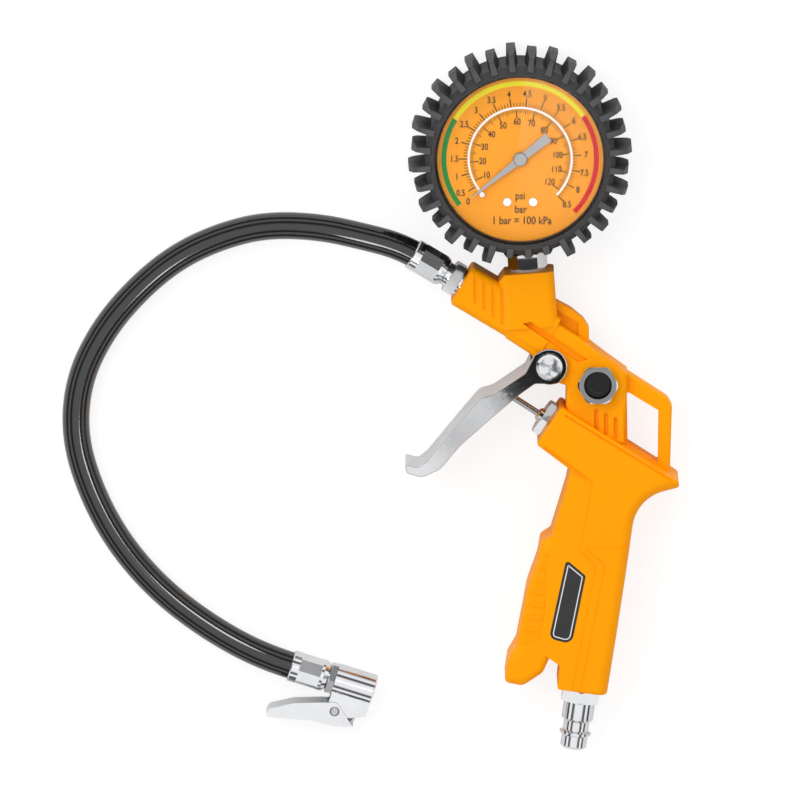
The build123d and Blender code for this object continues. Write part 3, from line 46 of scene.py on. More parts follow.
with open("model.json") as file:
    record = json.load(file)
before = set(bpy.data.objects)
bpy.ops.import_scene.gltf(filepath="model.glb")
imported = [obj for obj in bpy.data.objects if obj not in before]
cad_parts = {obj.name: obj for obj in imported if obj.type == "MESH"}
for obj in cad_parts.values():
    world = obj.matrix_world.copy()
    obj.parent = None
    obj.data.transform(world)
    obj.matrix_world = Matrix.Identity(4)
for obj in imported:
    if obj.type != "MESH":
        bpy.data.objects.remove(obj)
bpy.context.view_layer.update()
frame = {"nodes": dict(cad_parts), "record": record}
MM = 0.001

DIAL_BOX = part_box("dial_plate")
GAUGE_FACE = (DIAL_BOX[0] + DIAL_BOX[1]) / 2
DIAL_TOP = DIAL_BOX[1].z

# The hose's route in millimetres, from the gun's ferrule to the chuck's
HOSE_ROUTE = (
    (-49.03, 55.47, 14.0),
    (-54.5, 58.4, 14.0),
    (-66.5, 61.6, 13.6),
    (-84.2, 65.3, 11.6),
    (-104.0, 65.6, 8.6),
    (-120.5, 61.4, 6.4),
    (-137.5, 53.6, 5.4),
    (-152.5, 41.6, 5.4),
    (-166.6, 25.2, 5.4),
    (-176.2, 5.6, 5.4),
    (-178.0, -16.0, 5.4),
    (-172.0, -37.2, 5.4),
    (-161.4, -57.6, 5.4),
    (-146.0, -75.8, 5.4),
    (-127.2, -90.3, 6.2),
    (-107.05, -101.29, 8.0),
    (-95.6, -104.9, 8.0),
)

CAP_HEIGHT = 0.7  # height of a figure as a share of the font's size
INK_SPREAD = 0.00006  # how far the figures are fattened
MERGE_DISTANCE = 0.000001

# ------------------------------------------------------------------ settings


class InflatorSizes(bpy.types.PropertyGroup):
    """Sizes of the pieces that are made here."""

    hose_diameter: bpy.props.FloatProperty(
        name="Hose diameter", description="Outside of the air hose", default=0.0104, unit="LENGTH"
    )
    print_thickness: bpy.props.FloatProperty(
        name="Print thickness", description="How far ink stands on the dial",
        default=0.00005, unit="LENGTH",
    )
    figure_height: bpy.props.FloatProperty(
        name="Figure height", description="Height of the dial's figures", default=0.0024, unit="LENGTH"
    )
    outer_figures: bpy.props.FloatProperty(
        name="Outer figures", description="Radius of the ring of bar figures", default=0.0249, unit="LENGTH"
    )
    inner_figures: bpy.props.FloatProperty(
        name="Inner figures", description="Radius of the ring of psi figures", default=0.0142, unit="LENGTH"
    )
    scale_line: bpy.props.FloatProperty(
        name="Scale line", description="Radius of the white line between scales",
        default=0.0195, unit="LENGTH",
    )
    plate_line: bpy.props.FloatProperty(
        name="Plate line", description="Width of the bright line round the plate",
        default=0.0004, unit="LENGTH",
    )


class InflatorColours(bpy.types.PropertyGroup):
    """Colours of the finishes, as linear values."""

    paint: bpy.props.FloatVectorProperty(
        name="Body paint", description="Gloss paint of the casting", subtype="COLOR",
        size=4, default=(1.0, 0.352, 0.0, 1),
    )
    dial: bpy.props.FloatVectorProperty(
        name="Dial", description="Ground colour of the dial", subtype="COLOR",
        size=4, default=(1.0, 0.36, 0.0, 1),
    )
    boot: bpy.props.FloatVectorProperty(
        name="Boot", description="Moulded rubber round the gauge", subtype="COLOR",
        size=4, default=(0.034, 0.034, 0.036, 1),
    )
    hose: bpy.props.FloatVectorProperty(
        name="Hose", description="Black rubber of the hose", subtype="COLOR",
        size=4, default=(0.008, 0.008, 0.008, 1),
    )
    chrome: bpy.props.FloatVectorProperty(
        name="Chrome", description="Bright plating", subtype="COLOR",
        size=4, default=(0.84, 0.85, 0.87, 1),
    )
    low_band: bpy.props.FloatVectorProperty(
        name="Low band", description="Green band of the dial", subtype="COLOR",
        size=4, default=(0.0, 0.28, 0.035, 1),
    )
    middle_band: bpy.props.FloatVectorProperty(
        name="Middle band", description="Yellow band of the dial", subtype="COLOR",
        size=4, default=(1.0, 0.86, 0.0, 1),
    )
    high_band: bpy.props.FloatVectorProperty(
        name="High band", description="Red band of the dial", subtype="COLOR",
        size=4, default=(0.78, 0.002, 0.006, 1),
    )


class InflatorStage(bpy.types.PropertyGroup):
    """Camera and lamps."""

    distance: bpy.props.FloatProperty(
        name="Distance", description="From the camera to the gun's mid-plane", default=5.0, unit="LENGTH"
    )
    tilt: bpy.props.FloatProperty(
        name="Tilt", description="How far the camera leans from straight above",
        default=math.radians(10), subtype="ANGLE",
    )
    lens: bpy.props.FloatProperty(name="Lens", description="Focal length in millimetres", default=592.0)
    room: bpy.props.FloatProperty(name="Room light", description="Strength of the even light", default=0.77)
    lamp: bpy.props.FloatProperty(name="Lamp", description="Power of the large lamp in watts", default=7.0)


def settings():
    """The three groups of settings of the scene."""
    scene = bpy.context.scene
    return scene.inflator_sizes, scene.inflator_colours, scene.inflator_stage


# ------------------------------------------------------------------ node trees


def node(tree, kind, values=None, **properties):
    """Adds a node with its properties, and with its inputs set by name or number."""
    made = tree.nodes.new(kind)
    for key, value in properties.items():
        setattr(made, key, value)
    for key, value in (values or {}).items():
        made.inputs[key].default_value = value
    return made


def new_material(name, empty=False):
    """A material and its node tree, without its first nodes where empty is asked for."""
    material = bpy.data.materials.new(name)
    material.use_nodes = True
    if empty:
        material.node_tree.nodes.clear()
    return material, material.node_tree


def seen_directly(tree):
    """A light path node, and a value of 1 where a surface is seen by the camera or through glass."""
    path = node(tree, "ShaderNodeLightPath")
    seen = node(tree, "ShaderNodeMath", operation="MAXIMUM")
    tree.links.new(path.outputs["Is Camera Ray"], seen.inputs[0])
    tree.links.new(path.outputs["Is Transmission Ray"], seen.inputs[1])
    return path, seen


def ramp_along(tree, axis, values):
    """A map range node that is fed by the place along one of the object's axes."""
    place = node(tree, "ShaderNodeTexCoord")
    split = node(tree, "ShaderNodeSeparateXYZ")
    ramp = node(tree, "ShaderNodeMapRange", values)
    tree.links.new(place.outputs["Object"], split.inputs[0])
    tree.links.new(split.outputs[axis], ramp.inputs["Value"])
    return ramp


def new_group(name, inputs, outputs):
    """A shader node group with its named sockets, and its two end nodes."""
    tree = bpy.data.node_groups.new(name, "ShaderNodeTree")
    for label, kind, default in inputs:
        socket = tree.interface.new_socket(label, in_out="INPUT", socket_type=kind)
        socket.default_value = default
    for label, kind in outputs:
        tree.interface.new_socket(label, in_out="OUTPUT", socket_type=kind)
    return tree, tree.nodes.new("NodeGroupInput"), tree.nodes.new("NodeGroupOutput")


def end_group(tree, ends, value, unevenness, relief):
    """Feeds a group's outlet: the colour by its value, the uneven gloss and the relief."""
    inlet, outlet = ends
    link = tree.links.new
    tint = node(tree, "ShaderNodeHueSaturation")
    link(inlet.outputs["Color"], tint.inputs["Color"])
    link(value, tint.inputs["Value"])
    gloss = node(tree, "ShaderNodeMath", operation="MULTIPLY_ADD", use_clamp=True)
    link(unevenness, gloss.inputs[0])
    link(inlet.outputs["Roughness Spread"], gloss.inputs[1])
    link(inlet.outputs["Roughness"], gloss.inputs[2])
    link(tint.outputs["Color"], outlet.inputs["Color"])
    link(gloss.outputs[0], outlet.inputs["Roughness"])
    link(relief, outlet.inputs["Height"])


def grain_group():
    """Mottled colour, uneven gloss and fine relief, as paint, rubber and castings have."""
    tree, inlet, outlet = new_group(
        "Surface grain",
        [
            ("Color", "NodeSocketColor", (0.5, 0.5, 0.5, 1)),
            ("Mottle", "NodeSocketFloat", 0.05),
            ("Mottle Scale", "NodeSocketFloat", 60.0),
            ("Roughness", "NodeSocketFloat", 0.4),
            ("Roughness Spread", "NodeSocketFloat", 0.1),
            ("Relief Scale", "NodeSocketFloat", 900.0),
        ],
        [
            ("Color", "NodeSocketColor"),
            ("Roughness", "NodeSocketFloat"),
            ("Height", "NodeSocketFloat"),
        ],
    )
    link = tree.links.new
    place = node(tree, "ShaderNodeTexCoord")
    patches = node(tree, "ShaderNodeTexNoise", {"Detail": 5.0, "Roughness": 0.6})
    relief = node(tree, "ShaderNodeTexNoise", {"Detail": 3.0, "Roughness": 0.55})
    for texture, scale in ((patches, "Mottle Scale"), (relief, "Relief Scale")):
        link(place.outputs["Object"], texture.inputs["Vector"])
        link(inlet.outputs[scale], texture.inputs["Scale"])
    centred = node(tree, "ShaderNodeMath", {1: 0.5}, operation="SUBTRACT")
    link(patches.outputs["Fac"], centred.inputs[0])
    value = node(tree, "ShaderNodeMath", {2: 1.0}, operation="MULTIPLY_ADD")
    link(centred.outputs[0], value.inputs[0])
    link(inlet.outputs["Mottle"], value.inputs[1])
    end_group(tree, (inlet, outlet), value.outputs[0], centred.outputs[0], relief.outputs["Fac"])
    return tree


def polish_group():
    """Fine marks drawn out along one direction, as polishing, turning and drawing leave on metal."""
    tree, inlet, outlet = new_group(
        "Polish marks",
        [
            ("Color", "NodeSocketColor", (0.8, 0.8, 0.8, 1)),
            ("Stretch", "NodeSocketVector", (900.0, 900.0, 60.0)),
            ("Roughness", "NodeSocketFloat", 0.12),
            ("Roughness Spread", "NodeSocketFloat", 0.1),
        ],
        [
            ("Color", "NodeSocketColor"),
            ("Roughness", "NodeSocketFloat"),
            ("Height", "NodeSocketFloat"),
        ],
    )
    link = tree.links.new
    place = node(tree, "ShaderNodeTexCoord")
    drawn = node(tree, "ShaderNodeVectorMath", operation="MULTIPLY")
    link(place.outputs["Object"], drawn.inputs[0])
    link(inlet.outputs["Stretch"], drawn.inputs[1])
    marks = node(tree, "ShaderNodeTexNoise", {"Scale": 1.0, "Detail": 4.0, "Roughness": 0.65})
    link(drawn.outputs[0], marks.inputs["Vector"])
    stain = node(tree, "ShaderNodeTexNoise", {"Scale": 140.0, "Detail": 3.0})
    link(place.outputs["Object"], stain.inputs["Vector"])
    value = node(tree, "ShaderNodeMapRange", {"To Min": 0.9, "To Max": 1.06})
    link(stain.outputs["Fac"], value.inputs["Value"])
    end_group(tree, (inlet, outlet), value.outputs[0], marks.outputs["Fac"], marks.outputs["Fac"])
    return tree


def shared_group(name, maker):
    """A node group of the file, made the first time that it is asked for."""
    return bpy.data.node_groups.get(name) or maker()


def finish(name, group, values, relief=0.1, depth=0.00005, **principled):
    """A material that takes colour, gloss and relief from a shared group."""
    material, tree = new_material(name)
    shader = tree.nodes["Principled BSDF"]
    for key, value in principled.items():
        shader.inputs[key.replace("_", " ")].default_value = value
    detail = node(tree, "ShaderNodeGroup", node_tree=group)
    for key, value in values.items():
        detail.inputs[key].default_value = value
    bump = node(tree, "ShaderNodeBump", {"Strength": relief, "Distance": depth})
    link = tree.links.new
    link(detail.outputs["Color"], shader.inputs["Base Color"])
    link(detail.outputs["Roughness"], shader.inputs["Roughness"])
    link(detail.outputs["Height"], bump.inputs["Height"])
    link(bump.outputs["Normal"], shader.inputs["Normal"])
    return material


def grained(name, colour, roughness, spread=0.1, mottle=0.05, scale=60, fine=900, **rest):
    """A painted, moulded or rubber finish."""
    values = {
        "Color": colour,
        "Roughness": roughness,
        "Roughness Spread": spread,
        "Mottle": mottle,
        "Mottle Scale": scale,
        "Relief Scale": fine,
    }
    return finish(name, shared_group("Surface grain", grain_group), values, **rest)


def polished(name, colour, roughness, spread=0.1, stretch=(900, 900, 60), **rest):
    """A bare or plated metal finish."""
    values = {
        "Color": colour,
        "Roughness": roughness,
        "Roughness Spread": spread,
        "Stretch": stretch,
    }
    return finish(name, shared_group("Polish marks", polish_group), values, Metallic=1.0, **rest)


def clear_lens():
    """Clear moulded lens."""
    material, tree = new_material("clear lens")
    values = {
        "Transmission Weight": 1.0,
        "IOR": 1.45,
        "Base Color": (1, 1, 1, 1),
        "Roughness": 0.0,
        "Alpha": 0.2,
    }
    for key, value in values.items():
        tree.nodes["Principled BSDF"].inputs[key].default_value = value
    return material


# ------------------------------------------------------------------ modelling helpers


def deselect():
    """Leaves edit mode and clears the selection."""
    if bpy.context.object and bpy.context.object.mode != "OBJECT":
        bpy.ops.object.mode_set(mode="OBJECT")
    bpy.ops.object.select_all(action="DESELECT")


def choose(*objects):
    """Selects these objects only, with the first one active."""
    deselect()
    for item in objects:
        item.select_set(True)
    bpy.context.view_layer.objects.active = objects[0]


def settle():
    """Puts the active object's place into its mesh, and its origin at the frame's."""
    bpy.ops.object.transform_apply(location=True, rotation=True, scale=True)


def joined(name, pieces):
    """One object from several."""
    choose(*pieces)
    if len(pieces) > 1:
        bpy.ops.object.join()
    whole = bpy.context.object
    settle()
    whole.name = name
    whole.data.name = name
    return whole


def thicken(piece, thickness):
    """Gives a flat print its thickness, upwards from the dial."""
    choose(piece)
    solid = piece.modifiers.new("thickness", "SOLIDIFY")
    solid.thickness = thickness
    solid.offset = 1.0
    bpy.ops.object.modifier_apply(modifier=solid.name)


def face_up(piece):
    """Turns every face of a flat piece upwards."""
    choose(piece)
    bpy.ops.object.mode_set(mode="EDIT")
    bpy.ops.mesh.select_all(action="SELECT")
    bpy.ops.mesh.remove_doubles(threshold=MERGE_DISTANCE)
    bpy.ops.object.mode_set(mode="OBJECT")
    if piece.data.polygons[0].normal.z < 0:
        bpy.ops.object.mode_set(mode="EDIT")
        bpy.ops.mesh.flip_normals()
        bpy.ops.object.mode_set(mode="OBJECT")


def print_mark(radius, length, width, angle):
    """A short printed line that points at the gauge's middle."""
    deselect()
    bpy.ops.mesh.primitive_plane_add(size=1, location=(0, 0, 0))
    mark = bpy.context.object
    mark.scale = (length, width, 1)
    middle = radius + length / 2
    mark.location = (
        GAUGE_FACE.x + middle * math.cos(angle),
        GAUGE_FACE.y + middle * math.sin(angle),
        DIAL_TOP,
    )
    mark.rotation_euler = (0, 0, angle)
    settle()
    return mark


def arc_band(name, inner, outer, start, end):
    """A printed band on the dial, spun round the gauge's middle from a short edge."""
    deselect()
    middle, width = (inner + outer) / 2, outer - inner
    bpy.ops.mesh.primitive_plane_add(size=1, location=(0, 0, 0))
    band = bpy.context.object
    bpy.ops.object.mode_set(mode="EDIT")
    bpy.ops.mesh.select_all(action="DESELECT")
    bpy.ops.object.mode_set(mode="OBJECT")
    for vertex in band.data.vertices:
        vertex.select = vertex.co.y < 0
    bpy.ops.object.mode_set(mode="EDIT")
    bpy.ops.mesh.delete(type="VERT")
    bpy.ops.mesh.select_all(action="SELECT")
    bpy.ops.transform.resize(value=(width, 1, 1), center_override=(0, 0, 0))
    bpy.ops.transform.translate(value=(middle, -0.5, 0))
    degrees_per_step = 1.5
    steps = max(8, int(abs(math.degrees(end - start)) / degrees_per_step))
    bpy.ops.mesh.spin(steps=steps, angle=end - start, center=(0, 0, 0), axis=(0, 0, -1))
    bpy.ops.object.mode_set(mode="OBJECT")
    band.rotation_euler = (0, 0, start)
    band.location = (GAUGE_FACE.x, GAUGE_FACE.y, DIAL_TOP)
    band.name = name
    settle()
    face_up(band)
    return band


def lettering(text, x, y, height, squeeze):
    """A line of printed figures, centred on a point of the dial."""
    sizes = settings()[0]
    deselect()
    bpy.ops.object.text_add(location=(GAUGE_FACE.x + x, GAUGE_FACE.y + y, DIAL_TOP))
    line = bpy.context.object
    line.data.body = text
    line.data.size = height / CAP_HEIGHT
    line.data.align_x = "CENTER"
    line.data.align_y = "CENTER"
    line.data.offset = INK_SPREAD
    line.data.resolution_u = 4
    line.data.extrude = sizes.print_thickness / 2
    bpy.ops.object.convert(target="MESH")
    line = bpy.context.object
    line.scale = (squeeze, 1, 1)
    line.location.z = DIAL_TOP + sizes.print_thickness / 2
    settle()
    return line


def hang(piece, material, body):
    """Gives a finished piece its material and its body."""
    piece.data.materials.clear()
    piece.data.materials.append(material)
    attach(piece, body)


# ------------------------------------------------------------------ operators


class INFLATOR_OT_camera(bpy.types.Operator):
    """Puts the camera above the bench, looking down at the gun"""

    bl_idname = "inflator.camera"
    bl_label = "Camera"

    aim = Vector((-53.9, -1.0, 14.0)) * MM
    sensor_width = 36.0  # millimetres
    clip_start, clip_end = 0.05, 30.0

    def execute(self, context):
        stage = settings()[2]
        lean = Vector((0, math.sin(stage.tilt), math.cos(stage.tilt)))
        deselect()
        bpy.ops.object.camera_add(location=self.aim + lean * stage.distance, rotation=(-stage.tilt, 0, 0))
        camera = context.object
        camera.name = "camera"
        camera.data.lens = stage.lens
        camera.data.sensor_width = self.sensor_width
        camera.data.clip_start = self.clip_start
        camera.data.clip_end = self.clip_end
        context.scene.camera = camera
        return {"FINISHED"}


class INFLATOR_OT_hose(bpy.types.Operator):
    """Lays the air hose from the gun to its chuck as one smooth curve"""

    bl_idname = "inflator.hose"
    bl_label = "Air hose"

    def execute(self, context):
        sizes, colours, _ = settings()
        deselect()
        bpy.ops.curve.primitive_nurbs_path_add(location=(0, 0, 0))
        hose = context.object
        hose.name = "hose_curve"
        hose.data.name = "hose_curve"
        hose.data.splines.clear()
        spline = hose.data.splines.new("NURBS")
        spline.points.add(len(HOSE_ROUTE) - 1)
        for point, place in zip(spline.points, HOSE_ROUTE):
            point.co = (*(Vector(place) * MM), 1)
        spline.order_u = 3
        spline.use_endpoint_u = True
        spline.resolution_u = 12
        hose.data.dimensions = "3D"
        hose.data.bevel_depth = sizes.hose_diameter / 2
        hose.data.bevel_resolution = 10
        hose.data.use_fill_caps = True
        rubber = grained(
            "hose rubber", colours.hose, 0.1, spread=0.08, mottle=0.2, scale=35, fine=700,
            relief=0.12, depth=0.0001, Coat_Weight=0.6, Coat_Roughness=0.05, IOR=1.55,
        )
        hose.data.materials.append(rubber)
        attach(hose, "gun")
        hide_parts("hose")
        return {"FINISHED"}


class INFLATOR_OT_finishes(bpy.types.Operator):
    """Gives every solid of the model its finish"""

    bl_idname = "inflator.finishes"
    bl_label = "Finishes"

    # The lugs' faces get a painted highlight, paler from the first depth under their faces to the second
    rub_start, rub_end = 0.0006, 0.0002
    lit_face_gain = 2.0

    def execute(self, context):
        colours = settings()[1]
        chrome = colours.chrome
        kit = {
            "orange_paint": grained(
                "casting paint", colours.paint, 0.36, spread=0.12, mottle=0.05, scale=45, fine=420,
                relief=0.08, depth=0.0001, Specular_IOR_Level=0.06, Coat_Weight=0.03, Coat_Roughness=0.12,
            ),
            "plate_black": grained(
                "plate enamel", (0.012, 0.012, 0.012, 1), 0.25, mottle=0.1, relief=0.04
            ),
            "boot_rubber": self.boot_rubber(colours.boot),
            "dial_orange": grained("dial ground", colours.dial, 0.5, mottle=0.02, relief=0.02),
            "ring_black": grained("lens ring", (0.004, 0.004, 0.004, 1), 0.35, relief=0.05),
            "case_steel": grained("case paint", (0.02, 0.02, 0.02, 1), 0.4, relief=0.1),
            "button_black": grained(
                "button plastic", (0.012, 0.012, 0.012, 1), 0.45, mottle=0.2, fine=1200, relief=0.2
            ),
            "seal_black": grained("seal rubber", (0.015, 0.015, 0.015, 1), 0.6, relief=0.2),
            "seal_grey": grained("washer nylon", (0.45, 0.45, 0.43, 1), 0.5, relief=0.1),
            "chrome": polished(
                "bright chrome", chrome, 0.03, spread=0.05, stretch=(260, 500, 500),
                relief=0.05, depth=0.00005,
            ),
            "nickel": polished(
                "nickel plate", chrome, 0.06, spread=0.09, stretch=(700, 700, 120),
                relief=0.06, depth=0.00005,
            ),
            "steel": polished(
                "drawn steel", (0.6, 0.6, 0.61, 1), 0.2, spread=0.15, stretch=(300, 900, 900),
                relief=0.08,
            ),
            "spring_steel": polished("spring wire", (0.5, 0.5, 0.52, 1), 0.25, relief=0.08),
            "brass": polished("turned brass", (0.8, 0.56, 0.24, 1), 0.2, relief=0.08),
            "pointer_silver": polished(
                "pointer aluminium", (0.5, 0.5, 0.51, 1), 0.35, stretch=(300, 300, 300), relief=0.04
            ),
            "lens": clear_lens(),
            "hose_black": bpy.data.materials["hose rubber"],
        }
        for entry in frame["record"]["subparts"]:
            solid = frame["nodes"][entry["node"]]
            solid.data.materials.clear()
            solid.data.materials.append(kit[entry["material_slot"]])
        return {"FINISHED"}

    def boot_rubber(self, colour):
        """The boot's rubber, with a painted highlight that makes the faces of its lugs paler."""
        material = grained(
            "boot rubber", colour, 0.55, spread=0.2, mottle=0.22, scale=90, fine=1500,
            relief=0.25, depth=0.0001,
        )
        tree = material.node_tree
        detail = next(item for item in tree.nodes if item.type == "GROUP")
        lug_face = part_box("rubber_boot")[1].z
        lit_face_ramp = ramp_along(
            tree, "Z", {"From Min": lug_face - self.rub_start, "From Max": lug_face - self.rub_end}
        )
        # Painted highlight: the tops of the lugs are made paler than the rest of the rubber
        pale = [self.lit_face_gain * channel for channel in colour[:3]] + [1]
        blend = node(tree, "ShaderNodeMix", {6: tuple(colour), 7: pale}, data_type="RGBA")
        tree.links.new(lit_face_ramp.outputs[0], blend.inputs[0])
        tree.links.new(blend.outputs[2], detail.inputs["Color"])
        return material


class INFLATOR_OT_dial_bands(bpy.types.Operator):
    """Prints the three colour bands and the white line of the dial"""

    bl_idname = "inflator.dial_bands"
    bl_label = "Dial bands"

    band = (27.9, 29.8)  # inner and outer radius of the colour bands, in millimetres
    half_line = 0.4  # half the width of the white line, in millimetres
    white = (0.95, 0.95, 0.93, 1)

    def execute(self, context):
        sizes, colours, _ = settings()
        line = sizes.scale_line / MM
        line_radii = (line - self.half_line, line + self.half_line)
        spans = (
            ("low_band", self.band, 217.5, 148.5, colours.low_band),
            ("middle_band", self.band, 148.5, 34.4, colours.middle_band),
            ("high_band", self.band, 34.4, -44.7, colours.high_band),
            ("scale_line", line_radii, 221.0, -45.0, self.white),
        )
        for name, (inner, outer), start, end, colour in spans:
            band = arc_band(name, inner * MM, outer * MM, math.radians(end), math.radians(start))
            thicken(band, sizes.print_thickness)
            ink = grained(name.replace("_", " ") + " ink", tuple(colour), 0.5, mottle=0.03, relief=0.03)
            hang(band, ink, "gun")
        return {"FINISHED"}


class INFLATOR_OT_dial_scales(bpy.types.Operator):
    """Prints the lines and figures of the bar and psi scales"""

    bl_idname = "inflator.dial_scales"
    bl_label = "Dial scales"

    bar_zero = 218.5  # dial angle of 0 bar, in degrees
    bar_half = 212.3  # dial angle of 0.5 bar
    bar_step = 16.06  # degrees for each 0.5 bar
    psi_ten = 206.0  # dial angle of 10 psi
    psi_step = 22.25  # degrees for each 10 psi
    bar_lines, psi_lines = 81, 111

    # Length and width of each kind of line
    zero_tick = (3.6 * MM, 0.42 * MM)
    bar_long, bar_short = (3.2 * MM, 0.42 * MM), (1.5 * MM, 0.28 * MM)
    psi_long, psi_middle, psi_short = (3.4 * MM, 0.38 * MM), (2.1 * MM, 0.26 * MM), (1.4 * MM, 0.2 * MM)

    # Each word with its place from the gauge's middle, in millimetres
    words = (("psi", 0, -14.2), ("bar", 0.2, -19.4), ("1 bar = 100 kPa", 0.6, -23.7))
    word_height = 2.9 * MM
    word_squeeze, figure_squeeze = 0.85, 0.8

    def execute(self, context):
        sizes = settings()[0]
        ink = grained("scale ink", (0.006, 0.006, 0.006, 1), 0.5, mottle=0.05, relief=0.03)
        marks, figures = [], []
        line = sizes.scale_line
        marks.append(print_mark(line - 0.4 * MM, *self.zero_tick, math.radians(self.bar_zero)))
        figures.append(self.figure("0", sizes.outer_figures + 0.7 * MM, self.bar_zero + 1.3))
        for n in range(self.bar_lines):
            angle = self.bar_half - n * self.bar_step / 5
            whole = n % 5 == 0
            length, width = self.bar_long if whole else self.bar_short
            marks.append(print_mark(line + 0.45 * MM, length, width, math.radians(angle)))
            if whole:
                value = 0.5 + n / 10
                # The first figure stands clear of the nought
                outward, turn = (1.1 * MM, -2.0) if n == 0 else (0, 0)
                figures.append(self.figure(f"{value:g}", sizes.outer_figures + outward, angle + turn))
        for n in range(self.psi_lines):
            angle = self.psi_ten - n * self.psi_step / 10
            length, width = self.psi_middle if n % 5 == 0 else self.psi_short
            if n % 10 == 0:
                length, width = self.psi_long
                figures.append(self.figure(f"{10 + n:d}", sizes.inner_figures, angle))
            marks.append(print_mark(line - 0.5 * MM - length, length, width, math.radians(angle)))
        ticks = joined("scale_lines", marks)
        face_up(ticks)
        thicken(ticks, sizes.print_thickness)
        hang(ticks, ink, "gun")
        for text, x, y in self.words:
            figures.append(lettering(text, x * MM, y * MM, self.word_height, self.word_squeeze))
        printed = joined("scale_figures", figures)
        hang(printed, ink, "gun")
        return {"FINISHED"}

    def figure(self, text, radius, angle):
        """One figure of a scale, at its radius and dial angle."""
        turn = math.radians(angle)
        height = settings()[0].figure_height
        x, y = radius * math.cos(turn), radius * math.sin(turn)
        return lettering(text, x, y, height, self.figure_squeeze)


class INFLATOR_OT_plate_line(bpy.types.Operator):
    """Adds the bright line round the bare plate on the grip"""

    bl_idname = "inflator.plate_line"
    bl_label = "Plate line"

    margin = 0.0009  # from the plate's edge to the line
    thickness = 0.00006
    merge = 0.000002
    level = 0.00005  # how far under the top a face of the top may lie
    facing = 0.9  # how nearly straight up such a face looks

    def execute(self, context):
        sizes, colours, _ = settings()
        solid = frame["nodes"]["side_plate"]
        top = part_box("side_plate")[1].z
        deselect()
        bpy.ops.mesh.primitive_cube_add(size=1)
        line = context.object
        line.name = "plate_line"
        line.data = solid.data.copy()
        line.data.name = "plate_line"
        bpy.ops.object.mode_set(mode="EDIT")
        bpy.ops.mesh.select_mode(type="FACE")
        bpy.ops.mesh.select_all(action="SELECT")
        bpy.ops.mesh.remove_doubles(threshold=self.merge)
        bpy.ops.mesh.select_all(action="DESELECT")
        bpy.ops.object.mode_set(mode="OBJECT")
        for face in line.data.polygons:
            face.select = not (face.normal.z > self.facing and face.center.z > top - self.level)
        bpy.ops.object.mode_set(mode="EDIT")
        bpy.ops.mesh.delete(type="FACE")
        bpy.ops.mesh.select_all(action="SELECT")
        bpy.ops.mesh.dissolve_limited(angle_limit=0.02)
        # Inwards to the line's outer edge, then by its width; the inner face stays selected each time
        bpy.ops.mesh.select_all(action="SELECT")
        bpy.ops.mesh.inset(thickness=self.margin, depth=0)
        bpy.ops.mesh.select_all(action="INVERT")
        bpy.ops.mesh.delete(type="FACE")
        bpy.ops.mesh.select_all(action="SELECT")
        bpy.ops.mesh.inset(thickness=sizes.plate_line, depth=0)
        bpy.ops.mesh.delete(type="FACE")
        bpy.ops.mesh.select_mode(type="VERT")
        bpy.ops.object.mode_set(mode="OBJECT")
        thicken(line, self.thickness)
        silver = polished("plate line silver", colours.chrome, 0.22, relief=0.03)
        hang(line, silver, "gun")
        return {"FINISHED"}


